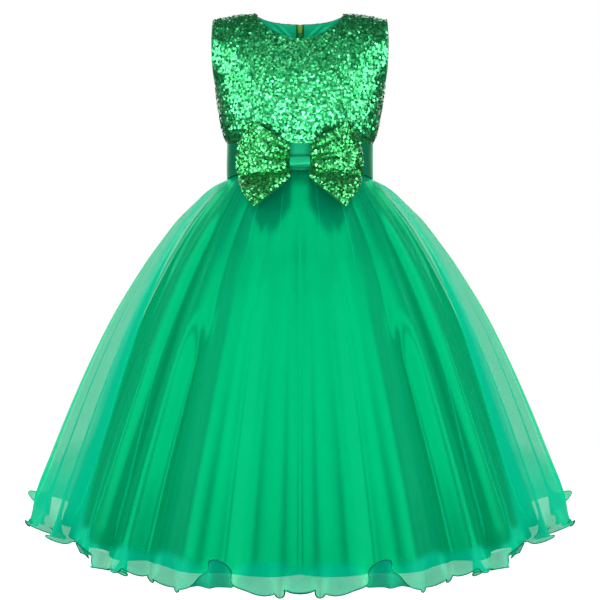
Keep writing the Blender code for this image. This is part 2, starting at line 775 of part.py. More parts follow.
def build_zip_chain(material):
    """The two halves of the zip's chain, which run down the inside of the centre back.

    Their rows are those of the cloth that they are sewn to.
    """
    bodice_rows = [back_panel(TO_CENTRE, up).z for up in BODICE_ROWS]
    sewn_to = [*bodice_rows, *UNDERSKIRT_ROWS]
    rows = sorted(row for row in sewn_to if CHAIN_BOTTOM < row < CHAIN_TOP)
    rows = [CHAIN_BOTTOM, *rows, CHAIN_TOP]
    for side, word in ((LEFT, "left"), (RIGHT, "right")):

        def chain(x, height):
            return Vector((x, zip_path(height), height))

        ends = sorted((side * SEAM_GAP, side * CHAIN_HALF_WIDTH))
        near, far = SEAM_GAP, SEAM_GAP + CHAIN_THICK
        columns = [evenly(*ends, 1)] * len(rows)
        cloth_wall(f"zip_chain_{word}", chain, rows, columns, near, far, material)


def zip_frame():
    """Place and tilt of the slider: on the outside of the centre back, along its slope."""
    top, low = SLIDER_Z + SLIDER_SPAN, SLIDER_Z - SLIDER_SPAN
    slope = (zip_path(low) - zip_path(top)) / (top - low)
    tilt = math.atan(slope)
    place = Vector((0.0, zip_path(SLIDER_Z), SLIDER_Z))
    return place, tilt


def pull_pin():
    """The pin's axis in the row's frame, and the angle at which the tab rests on the cloth."""
    place, tilt = zip_frame()
    stand = Vector((0.0, SHELL + SEAM_GAP + PIN_STAND, 0.0))
    pin = place + Matrix.Rotation(tilt, 3, "X") @ stand
    angle = tilt
    while tab_clearance(pin, angle - REST_STEP) > SEAM_GAP:
        angle -= REST_STEP
    return pin, angle


def tab_clearance(pin, angle):
    """The least gap between the tab, turned to an angle, and the back's outer surface."""
    gaps = []
    for row in TAB_ROWS:
        inner = Vector((0.0, -TAB_THICK / 2, -row.reach))
        point = pin + Matrix.Rotation(angle, 3, "X") @ inner
        gaps.append(point.y - zip_path(point.z) - SHELL / math.cos(angle))
    return min(gaps)


def box(mesh, x_range, y_range, z_range, low_x_range=None):
    """A box, or a block whose lower end has its own width."""
    low_x = low_x_range or x_range
    corners = []
    for z, xs in ((z_range[0], low_x), (z_range[1], x_range)):
        for x, y in ((0, 0), (1, 0), (1, 1), (0, 1)):
            corners.append(mesh.verts.new((xs[x], y_range[y], z)))
    low, high = corners[:4], corners[4:]
    mesh.faces.new(reversed(low))
    mesh.faces.new(high)
    for i in range(4):
        j = (i + 1) % 4
        mesh.faces.new((low[i], low[j], high[j], high[i]))


def disc_along_x(mesh, x_range, y, radius, sides=ROUND_SIDES):
    """A short cylinder whose axis runs along X."""
    turn = Matrix.Rotation(math.pi / 2, 4, "Y")
    place = Matrix.Translation((sum(x_range) / 2, y, 0.0))
    bmesh.ops.create_cone(
        mesh,
        cap_ends=True,
        segments=sides,
        radius1=radius,
        radius2=radius,
        depth=x_range[1] - x_range[0],
        matrix=place @ turn,
    )


def solid_object(name, parts, cuts, material):
    """One body from several overlapping blocks, joined and cut by Booleans."""
    objects = []
    for index, fill in enumerate((*parts, *cuts)):
        mesh = bmesh.new()
        fill(mesh)
        objects.append(finish_object(f"{name}_{index}", mesh, material))
    body = objects[0]
    for index, other in enumerate(objects[1:], start=1):
        step = body.modifiers.new(other.name, "BOOLEAN")
        step.operation = "UNION" if index < len(parts) else "DIFFERENCE"
        step.object = other
    bpy.context.view_layer.update()
    evaluated = body.evaluated_get(bpy.context.evaluated_depsgraph_get())
    data = bpy.data.meshes.new_from_object(evaluated)
    for spare in objects:
        bpy.data.objects.remove(spare)
    data.name = name
    data.materials.clear()
    data.materials.append(material)
    made = bpy.data.objects.new(name, data)
    bpy.context.scene.collection.objects.link(made)
    return made


def build_slider(material):
    """The slider's body inside, the bridge through the gap, and two ears with a pin outside.

    In its own frame, Y points out of the back and Z runs up along it, from the cloth's inside.
    """
    place, tilt = zip_frame()
    outside = SHELL + SEAM_GAP
    half_height, half_bridge = SLIDER_HEIGHT / 2, BRIDGE_HEIGHT / 2
    pin_y = outside + PIN_STAND
    ear_inside = EYE_HALF_WIDTH + SEAM_GAP

    def body(mesh):
        top, low = SLIDER_TOP_HALF, SLIDER_LOW_HALF
        depth = (-SEAM_GAP - SLIDER_THICK, -SEAM_GAP)
        box(mesh, (-top, top), depth, (-half_height, half_height), (-low, low))

    def bridge(mesh):
        depth = (-SEAM_GAP - SLIDER_THICK / 2, outside + PLATE_THICK / 2)
        box(mesh, (-BRIDGE_HALF, BRIDGE_HALF), depth, (-half_bridge, half_bridge))

    def plate(mesh):
        half = PLATE_HALF_WIDTH
        depth = (outside, outside + PLATE_THICK)
        box(mesh, (-half, half), depth, (-PLATE_HEIGHT / 2, PLATE_HEIGHT / 2))

    def ear(side):
        ends = sorted((side * ear_inside, side * (ear_inside + EAR_THICK)))

        def fill(mesh):
            depth = (outside + PLATE_THICK / 2, pin_y)
            box(mesh, ends, depth, (-EAR_RADIUS, EAR_RADIUS))

        def cap(mesh):
            disc_along_x(mesh, ends, pin_y, EAR_RADIUS)

        return fill, cap

    def pin(mesh):
        half = ear_inside + EAR_THICK / 2
        disc_along_x(mesh, (-half, half), pin_y, PIN_RADIUS, PIN_SIDES)

    parts = (body, bridge, plate, *ear(LEFT), *ear(RIGHT), pin)
    made = solid_object("zip_slider", parts, (), material)
    made.location = place
    made.rotation_euler = (tilt, 0.0, 0.0)


def build_pull(material):
    """The tab that hangs from the slider's pin. Its origin lies on the pin's axis."""
    eye_half, half = EYE_HALF_WIDTH, TAB_THICK / 2

    def eye(mesh):
        disc_along_x(mesh, (-eye_half, eye_half), 0.0, EYE_RADIUS)

    def neck(mesh):
        box(mesh, (-eye_half, eye_half), (-half, half), (TAB_NECK_LOW, TAB_NECK_TOP))

    def blade(mesh):
        rings = []
        for reach, width in TAB_ROWS:
            corners = ((-width, -half), (width, -half), (width, half), (-width, half))
            rings.append([mesh.verts.new((x, y, -reach)) for x, y in corners])
        for near, far in zip(rings, rings[1:]):
            for i in range(4):
                j = (i + 1) % 4
                mesh.faces.new((near[i], near[j], far[j], far[i]))
        mesh.faces.new(rings[0])
        mesh.faces.new(reversed(rings[-1]))
        bmesh.ops.recalc_face_normals(mesh, faces=mesh.faces)

    def hole(mesh):
        disc_along_x(mesh, (-2 * eye_half, 2 * eye_half), 0.0, EYE_HOLE)

    made = solid_object("zip_pull", (eye, neck, blade), (hole,), material)
    made.location, rest = pull_pin()
    made.rotation_euler = (rest, 0.0, 0.0)


def build_dress():
    """Makes every piece of the dress."""
    sequin = make_material("sequin_cloth", (0.03, 0.52, 0.16), 0.35, 0.6)
    lining = make_material("lining_satin", (0.02, 0.55, 0.33), 0.45)
    band = make_material("band_satin", (0.01, 0.38, 0.24), 0.40)
    satin = make_material("skirt_satin", (0.0, 0.48, 0.22), 0.42)
    organza = make_material("organza", (0.01, 0.62, 0.34), 0.60)
    chain = make_material("zip_coil", (0.05, 0.50, 0.20), 0.50)
    metal = make_material("zip_metal", (0.30, 0.62, 0.10), 0.35, 0.2)
    build_bodice(sequin, lining)
    build_waistband(band)
    build_skirts(satin, organza)
    build_bow(sequin, band)
    build_zip_chain(chain)
    build_slider(metal)
    build_pull(metal)


def clear_scene():
    for old in list(bpy.data.objects):
        bpy.data.objects.remove(old)


clear_scene()
build_dress()
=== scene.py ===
"""Looks of a girl's sleeveless princess dress, filled out as worn, with no wearer.

Sequinned bodice and bow, satin waistband and underskirt, and a sheer organza overskirt whose
hem is ruffled and rolled. Units are metres, +Z is up and the front faces -Y.
"""

import json
import logging
import math
from dataclasses import dataclass
from enum import Enum
from typing import Callable, NamedTuple, Sequence

import bpy
import numpy as np
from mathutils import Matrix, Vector

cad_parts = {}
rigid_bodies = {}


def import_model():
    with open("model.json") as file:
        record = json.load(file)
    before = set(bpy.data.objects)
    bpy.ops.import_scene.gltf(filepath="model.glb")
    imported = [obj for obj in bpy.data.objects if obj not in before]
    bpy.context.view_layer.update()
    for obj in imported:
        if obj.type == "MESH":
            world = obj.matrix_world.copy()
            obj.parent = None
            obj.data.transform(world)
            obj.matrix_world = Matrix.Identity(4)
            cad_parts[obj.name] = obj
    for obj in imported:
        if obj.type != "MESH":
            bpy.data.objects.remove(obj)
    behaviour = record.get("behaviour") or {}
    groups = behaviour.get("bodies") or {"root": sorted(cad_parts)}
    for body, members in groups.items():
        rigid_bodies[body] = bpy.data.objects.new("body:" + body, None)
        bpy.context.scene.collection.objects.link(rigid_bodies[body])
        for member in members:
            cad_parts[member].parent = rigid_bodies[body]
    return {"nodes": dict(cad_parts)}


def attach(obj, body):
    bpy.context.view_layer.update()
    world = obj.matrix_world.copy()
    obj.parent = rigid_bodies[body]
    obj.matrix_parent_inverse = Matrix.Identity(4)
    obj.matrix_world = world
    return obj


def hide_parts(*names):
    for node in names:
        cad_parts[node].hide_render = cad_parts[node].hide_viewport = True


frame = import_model()

LOG = logging.getLogger("princess_dress")
BODY = "dress"
PULL_BODY = "pull_tab"
CLOTH = "cloth"

# The wave texture's scale, times the distance from one wave to the next.
WAVE_TURN = 2.0 * math.pi / 20.0
# Edges that turn by more than this are shown sharp.
SHARP_DEGREES = 55.0
# How far a rough outward direction leans to the front or the back, in metres.
FACE_LEAD = 0.02
# The least length that a direction is divided by.
TINY = 1e-12
# Leaves the level part of a vector.
LEVEL = np.array((1.0, 1.0, 0.0))

Array = np.ndarray
Surface = Callable[[Array, Array], Array]
Triple = tuple[float, float, float]
Colour = Triple


class Face(Enum):
    """The front or the back of the dress, with the sign of its direction along Y."""

    FRONT = -1.0
    BACK = 1.0

    @property
    def depth(self) -> str:
        """The name of the depth that the bodice's sections give for this face."""
        return f"{self.name.lower()}_depth"


class Side(Enum):
    """A side of the dress, with the sign of its direction along X."""

    LEFT = -1.0
    RIGHT = 1.0

    @property
    def word(self) -> str:
        """The side's name, as it stands in the names of pieces."""
        return self.name.lower()


class Lit(Enum):
    """What a softbox lights, with the starts of the names of those pieces."""

    ALL = ()
    UPPER = ("bodice_", "lining_", "bow_", "band_", "zip_")
    SEQUINS = ("bodice_", "lining_", "bow_", "zip_")
    SATIN = ("satin_",)
    SHEER = ("organza_", "rolled_hem_")


# Shaders


class Wire:
    """One output socket of a shader's node. Arithmetic on it adds Math nodes."""

    def __init__(self, graph: "Graph", socket: bpy.types.NodeSocket) -> None:
        """Keeps the socket and the graph that new nodes go into."""
        self.graph = graph
        self.socket = socket

    def _math(self, operation: str, first: "Wire | float", second: "Wire | float") -> "Wire":
        """Adds one Math node.

        Args:
            operation: Blender's name of the operation.
            first: the first value.
            second: the second value.

        Returns:
            The node's result.
        """
        return self.graph.node("ShaderNodeMath", {"operation": operation}, {0: first, 1: second})

    def __add__(self, other: "Wire | float") -> "Wire":
        """Sum."""
        return self._math("ADD", self, other)

    __radd__ = __add__

    def __sub__(self, other: "Wire | float") -> "Wire":
        """Difference."""
        return self._math("SUBTRACT", self, other)

    def __rsub__(self, other: "Wire | float") -> "Wire":
        """Difference from a number."""
        return self._math("SUBTRACT", other, self)

    def __mul__(self, other: "Wire | float") -> "Wire":
        """Product."""
        return self._math("MULTIPLY", self, other)

    __rmul__ = __mul__


class Graph:
    """The nodes of a material or of the sky, which are added one call at a time."""

    def __init__(
        self, owner: bpy.types.Material | bpy.types.World, shader: str, constants: dict[str, object]
    ) -> None:
        """Sets the constant sockets of the shader.

        Args:
            owner: the material or the sky.
            shader: the name of its shader's node.
            constants: the value of each socket that is the same all over.
        """
        owner.use_nodes = True
        self.owner = owner
        self.tree = owner.node_tree
        self.shader = self.tree.nodes[shader]
        for socket, value in constants.items():
            self.shader.inputs[socket].default_value = value

    @classmethod
    def finish(cls, name: str, constants: dict[str, object]) -> "Graph":
        """Starts a material with a Principled shader."""
        return cls(bpy.data.materials.new(name), "Principled BSDF", constants)

    def node(
        self,
        kind: str,
        settings: dict[str, object],
        values: dict[int | str, object],
        output: int | str = 0,
    ) -> Wire:
        """Adds a node.

        Args:
            kind: the node's type.
            settings: its settings; "stops" gives a ramp's places and colours.
            values: a number, colour or wire for each input that isn't left at its default.
            output: the output to return.

        Returns:
            That output.
        """
        made = self.tree.nodes.new(kind)
        for key, value in settings.items():
            if key == "stops":
                self._set_stops(made.color_ramp, value)
            else:
                setattr(made, key, value)
        for key, value in values.items():
            if isinstance(value, Wire):
                self.tree.links.new(value.socket, made.inputs[key])
            else:
                made.inputs[key].default_value = value
        return Wire(self, made.outputs[output])

    @staticmethod
    def _set_stops(ramp: bpy.types.ColorRamp, stops: Sequence[tuple[float, Colour]]) -> None:
        """Gives a ramp its stops.

        Args:
            ramp: a new ramp, which has two stops.
            stops: the place and the colour of each.
        """
        while len(ramp.elements) < len(stops):
            ramp.elements.new(1.0)
        for element, (place, colour) in zip(ramp.elements, stops):
            element.position = place
            element.color = (*colour, 1.0)

    def link(self, socket: str, wire: Wire) -> None:
        """Feeds one of the shader's sockets."""
        self.tree.links.new(wire.socket, self.shader.inputs[socket])

    def place(self) -> Wire:
        """Coordinates on the cloth, in metres across and along the grain."""
        return self.node("ShaderNodeUVMap", {"uv_map": CLOTH}, {})

    def solid_place(self) -> Wire:
        """Coordinates in space, in metres."""
        return self.node("ShaderNodeTexCoord", {}, {}, "Object")

    def scaled(self, place: Wire, scale: Triple) -> Wire:
        """Coordinates stretched along each axis."""
        return self.node("ShaderNodeMapping", {}, {"Vector": place, "Scale": scale})

    def noise(self, place: Wire, scale: float, detail: float = 2.0) -> Wire:
        """Soft noise from 0 to 1."""
        values = {"Vector": place, "Scale": scale, "Detail": detail}
        return self.node("ShaderNodeTexNoise", {}, values)

    def ribs(self, place: Wire, period: float, across: bool) -> Wire:
        """Threads side by side, from 0 to 1.

        Args:
            place: coordinates in metres.
            period: the distance from one thread to the next.
            across: whether they lie side by side across the cloth or along it.

        Returns:
            The threads' height.
        """
        settings = {"wave_type": "BANDS", "bands_direction": "X" if across else "Y"}
        return self.node("ShaderNodeTexWave", settings, {"Vector": place, "Scale": WAVE_TURN / period})

    def mix(self, factor: Wire, first: Colour, second: Colour) -> Wire:
        """Blends two colours."""
        values = {0: factor, 6: (*first, 1.0), 7: (*second, 1.0)}
        return self.node("ShaderNodeMix", {"data_type": "RGBA"}, values, 2)

    def bump(self, height: Wire, distance: float) -> None:
        """Feeds the shader's normal from a height."""
        self.link("Normal", self.node("ShaderNodeBump", {}, {"Height": height, "Distance": distance}))


def highlights(specular: float, sheen: float, sheen_roughness: float, tint: Colour) -> dict[str, object]:
    """The constants of a cloth's highlights and sheen, which share one tint.

    Args:
        specular: the strength of the highlights.
        sheen: the strength of the sheen.
        sheen_roughness: how soft the sheen is.
        tint: their colour.

    Returns:
        The value of each socket.
    """
    return {
        "Specular IOR Level": specular,
        "Specular Tint": (*tint, 1.0),
        "Sheen Weight": sheen,
        "Sheen Roughness": sheen_roughness,
        "Sheen Tint": (*tint, 1.0),
    }


@dataclass(frozen=True)
class Satin:
    """Smooth satin: fine ribs along the grain, slubs, and a soft sheen."""

    name: str
    light: Colour
    dark: Colour
    roughness: float = 0.40
    gloss: float = 0.30
    tint: Colour = (0.0, 0.95, 0.55)
    specular: float = 0.40
    sheen: float = 0.15
    sheen_roughness: float = 0.35
    thread: float = 0.00045
    slub_stretch: Triple = (900.0, 9.0, 1.0)
    cloud_scale: float = 14.0
    slub_tint: float = 0.12
    slub_roughness: float = 0.03
    slub_height: float = 0.2
    relief: float = 0.00001

    def make(self) -> bpy.types.Material:
        """Builds the material."""
        shine = highlights(self.specular, self.sheen, self.sheen_roughness, self.tint)
        graph = Graph.finish(self.name, {"Metallic": self.gloss, **shine})
        place = graph.place()
        slubs = graph.noise(graph.scaled(place, self.slub_stretch), 1.0)
        clouds = graph.noise(place, self.cloud_scale)
        shade = clouds * (1.0 - self.slub_tint) + slubs * self.slub_tint
        graph.link("Base Color", graph.mix(shade, self.dark, self.light))
        smoothest = self.roughness - self.slub_roughness / 2.0
        graph.link("Roughness", slubs * self.slub_roughness + smoothest)
        ribs = graph.ribs(place, self.thread, across=True)
        graph.bump(ribs * (1.0 - self.slub_height) + slubs * self.slub_height, self.relief)
        return graph.owner


@dataclass(frozen=True)
class Organza:
    """Crisp sheer cloth. Its mesh says how much of what lies behind each place it covers.

    A painted glow: the cloth emits a faint light of its own, which stands in for the light that comes
    through it from behind.
    """

    name: str
    light: Colour
    dark: Colour
    tint: Colour = (0.0, 1.0, 0.75)
    # Painted glow: the colour and strength of the light the cloth emits, in place of light that comes
    # through it from behind.
    passed: Colour = (0.0, 0.62, 0.39)
    passed_share: float = 0.30
    specular: float = 0.04
    sheen: float = 0.10
    sheen_roughness: float = 0.30
    thread: float = 0.0006
    slub_stretch: Triple = (700.0, 14.0, 1.0)
    cloud_scale: float = 40.0
    weave: float = 0.07
    slub: float = 0.04
    cloud: float = 0.10
    smoothest: float = 0.40
    slub_roughness: float = 0.20
    relief: float = 0.00003

    def make(self) -> bpy.types.Material:
        """Builds the material."""
        shine = highlights(self.specular, self.sheen, self.sheen_roughness, self.tint)
        # Painted glow: emission that stands in for light passing through the cloth from behind.
        glow = {"Emission Color": (*self.passed, 1.0), "Emission Strength": self.passed_share}
        graph = Graph.finish(self.name, {**shine, **glow})
        place = graph.place()
        warp = graph.ribs(place, self.thread, across=True)
        weft = graph.ribs(place, self.thread, across=False)
        slubs = graph.noise(graph.scaled(place, self.slub_stretch), 1.0)
        clouds = graph.noise(place, self.cloud_scale, 1.0)
        graph.link("Base Color", graph.mix(slubs, self.dark, self.light))
        cover = graph.node("ShaderNodeAttribute", {"attribute_name": "cover"}, {}, "Fac")
        threads = (warp + weft) * self.weave + slubs * self.slub + clouds * self.cloud
        middle = self.weave + (self.slub + self.cloud) / 2.0
        graph.link("Alpha", cover + threads - middle)
        graph.link("Roughness", slubs * self.slub_roughness + self.smoothest)
        graph.bump(warp + weft, self.relief)
        return graph.owner


@dataclass(frozen=True)
class Sequins:
    """Dished metallic discs under a clear film. Each has its own tone."""

    name: str
    deep: Colour
    middle: Colour
    bright: Colour
    roughness: float
    metallic: float = 0.85
    film_roughness: float = 0.12
    film_index: float = 1.5
    middle_tone: float = 0.55
    grain_scale: float = 900.0
    grain: float = 0.16
    least_film: float = 0.2
    film_gain: float = 0.5

    def make(self) -> bpy.types.Material:
        """Builds the material."""
        constants = {
            "Metallic": self.metallic,
            "Coat Roughness": self.film_roughness,
            "Coat IOR": self.film_index,
        }
        graph = Graph.finish(self.name, constants)
        tone = graph.node("ShaderNodeAttribute", {"attribute_name": "tone"}, {}, "Fac")
        stops = ((0.0, self.deep), (self.middle_tone, self.middle), (1.0, self.bright))
        graph.link("Base Color", graph.node("ShaderNodeValToRGB", {"stops": stops}, {0: tone}))
        grain = graph.noise(graph.solid_place(), self.grain_scale)
        graph.link("Roughness", grain * self.grain + (self.roughness - self.grain / 2.0))
        graph.link("Coat Weight", tone * self.film_gain + self.least_film)
        return graph.owner


@dataclass(frozen=True)
class Net:
    """The dull net that sequins are sewn to."""

    name: str
    light: Colour
    dark: Colour
    specular: float = 0.25
    mesh: float = 0.0014
    fuzz_scale: float = 300.0
    fuzz: float = 0.2
    smoothest: float = 0.6
    relief: float = 0.0002

    def make(self) -> bpy.types.Material:
        """Builds the material."""
        graph = Graph.finish(self.name, {"Specular IOR Level": self.specular})
        place = graph.place()
        mesh = graph.ribs(place, self.mesh, across=True) + graph.ribs(place, self.mesh, across=False)
        graph.link("Base Color", graph.mix(mesh * 0.5, self.dark, self.light))
        graph.link("Roughness", graph.noise(place, self.fuzz_scale) * self.fuzz + self.smoothest)
        graph.bump(mesh, self.relief)
        return graph.owner


@dataclass(frozen=True)
class Thread:
    """Twisted sewing thread, close together."""

    name: str
    light: Colour
    dark: Colour
    period: float = 0.0012
    specular: float = 0.4
    smoothest: float = 0.45
    twist_roughness: float = 0.15
    relief: float = 0.00015

    def make(self) -> bpy.types.Material:
        """Builds the material."""
        graph = Graph.finish(self.name, {"Specular IOR Level": self.specular})
        twist = graph.ribs(graph.place(), self.period, across=True)
        graph.link("Base Color", graph.mix(twist, self.dark, self.light))
        graph.link("Roughness", twist * self.twist_roughness + self.smoothest)
        graph.bump(twist, self.relief)
        return graph.owner


@dataclass(frozen=True)
class Enamel:
    """Cast metal under coloured enamel, or moulded nylon, a little worn."""

    name: str
    light: Colour
    dark: Colour
    metallic: float
    roughness: float
    coat_roughness: float = 0.1
    wear_scale: float = 420.0
    wear_detail: float = 4.0
    wear: float = 0.2
    relief: float = 0.00004

    def make(self) -> bpy.types.Material:
        """Builds the material."""
        constants = {"Metallic": self.metallic, "Coat Roughness": self.coat_roughness}
        graph = Graph.finish(self.name, constants)
        wear = graph.noise(graph.solid_place(), self.wear_scale, self.wear_detail)
        graph.link("Base Color", graph.mix(wear, self.dark, self.light))
        graph.link("Roughness", wear * self.wear + (self.roughness - self.wear / 2.0))
        graph.bump(wear, self.relief)
        return graph.owner


@dataclass(frozen=True)
class Paper:
    """The studio's pale seamless paper, which fades out towards its edge."""

    name: str = "seamless_paper"
    colour: Colour = (0.90, 0.90, 0.90)
    glow: float = 1.05
    roughness: float = 0.9
    grain_scale: float = 6.0
    grain_shade: float = 0.985
    fade_from: float = 0.45

    def make(self) -> bpy.types.Material:
        """Builds the material."""
        constants = {
            "Roughness": self.roughness,
            "Specular IOR Level": 0.0,
            "Emission Strength": self.glow,
        }
        graph = Graph.finish(self.name, constants)
        grain = graph.noise(graph.solid_place(), self.grain_scale)
        faint = tuple(self.grain_shade * part for part in self.colour)
        tint = graph.mix(grain, faint, self.colour)
        graph.link("Base Color", tint)
        graph.link("Emission Color", tint)
        reach = graph.node("ShaderNodeSeparateXYZ", {}, {0: graph.place()}, "X")
        stops = ((self.fade_from, (1.0, 1.0, 1.0)), (1.0, (0.0, 0.0, 0.0)))
        graph.link("Alpha", graph.node("ShaderNodeValToRGB", {"stops": stops}, {0: reach}))
        return graph.owner


class Wardrobe:
    """Every finish of the dress, made once."""

    def __init__(self) -> None:
        """Makes the materials."""
        self.bodice_sequins = Sequins(
            "bodice_sequins", (0.006, 0.20, 0.055), (0.02, 0.48, 0.14), (0.12, 0.86, 0.33), roughness=0.34
        ).make()
        self.bow_sequins = Sequins(
            "bow_sequins", (0.006, 0.17, 0.036), (0.02, 0.45, 0.10), (0.14, 0.84, 0.26), roughness=0.32
        ).make()
        self.net = Net("sequin_net", (0.010, 0.30, 0.085), (0.004, 0.15, 0.04)).make()
        self.lining = Satin("lining_cloth", (0.015, 0.70, 0.36), (0.010, 0.60, 0.30)).make()
        self.band = Satin("band_cloth", (0.015, 0.44, 0.20), (0.010, 0.37, 0.165), roughness=0.45).make()
        self.skirt = Satin(
            "skirt_cloth",
            (0.0, 0.49, 0.155),
            (0.0, 0.43, 0.130),
            roughness=0.28,
            gloss=0.90,
            tint=(0.0, 0.95, 0.60),
        ).make()
        self.organza = Organza("organza_cloth", (0.0, 0.65, 0.32), (0.0, 0.57, 0.275)).make()
        self.hem_thread = Thread("hem_thread", (0.014, 0.70, 0.41), (0.006, 0.56, 0.32)).make()
        self.coil = Enamel(
            "coil_nylon", (0.10, 0.50, 0.14), (0.05, 0.38, 0.10), metallic=0.0, roughness=0.42
        ).make()
        self.tape = Net("zip_tape", (0.02, 0.40, 0.16), (0.01, 0.28, 0.10)).make()
        self.zip_metal = Enamel(
            "zip_enamel", (0.30, 0.62, 0.08), (0.22, 0.50, 0.05), metallic=0.25, roughness=0.30
        ).make()


# Forms


def smooth(value: Array) -> Array:
    """Eases from 0 to 1."""
    share = np.clip(value, 0.0, 1.0)
    return share * share * (3.0 - 2.0 * share)


def stacked(x: Array, y: Array, z: Array) -> Array:
    """Points from their coordinates."""
    return np.stack(np.broadcast_arrays(x, y, z), axis=-1)


def unit(vectors: Array) -> Array:
    """The same directions at length 1."""
    return vectors / np.maximum(np.linalg.norm(vectors, axis=-1, keepdims=True), TINY)


class Profile:
    """Sections listed by height, read at any height on a smooth curve."""

    def __init__(self, rows: Sequence[NamedTuple]) -> None:
        """Sorts the sections by height.

        Args:
            rows: sections of one kind, with their height in the first column.
        """
        ordered = sorted(rows)
        self.heights = np.array([row.height for row in ordered])
        self.names = {name: index for index, name in enumerate(ordered[0]._fields)}
        self.table = np.array(ordered)

    def at(self, name: str, height: Array) -> Array:
        """Reads one column.

        Args:
            name: the column's name.
            height: the heights, which may lie past the ends.

        Returns:
            The column's value at each height.
        """
        x, y = self.heights, self.table[:, self.names[name]]
        last = len(x) - 1
        before = np.maximum(np.arange(last + 1) - 1, 0)
        after = np.minimum(np.arange(last + 1) + 1, last)
        slope = (y[after] - y[before]) / (x[after] - x[before])
        held = np.clip(height, x[0], x[-1])
        low = np.clip(np.searchsorted(x, held, side="right") - 1, 0, last - 1)
        span = x[low + 1] - x[low]
        t = (held - x[low]) / span
        return (
            (2 * t**3 - 3 * t**2 + 1) * y[low]
            + (t**3 - 2 * t**2 + t) * span * slope[low]
            + (3 * t**2 - 2 * t**3) * y[low + 1]
            + (t**3 - t**2) * span * slope[low + 1]
        )


class BodiceSection(NamedTuple):
    """One section of the bodice, on the inside of its sequinned cloth."""

    height: float
    half_width: float
    front_depth: float
    back_depth: float


class Crease(NamedTuple):
    """A soft crease, on both sides alike. Its depth is how far it moves the cloth."""

    x: float
    height: float
    run: float
    rise: float
    width: float
    depth: float


def creased(creases: Sequence[Crease], x: Array, height: Array) -> Array:
    """How far creases lift or sink a cloth.

    Args:
        creases: the creases of one side.
        x: places across the cloth.
        height: their heights.

    Returns:
        The offset of each place.
    """
    offset = np.zeros_like(x)
    for one in creases:
        length = math.hypot(one.run, one.rise)
        dx, dz = np.abs(x) - one.x, height - one.height
        along = (dx * one.run + dz * one.rise) / length
        away = (dz * one.run - dx * one.rise) / length
        offset += one.depth * np.exp(-2.0 * (along / length) ** 2 - (away / one.width) ** 2)
    return offset


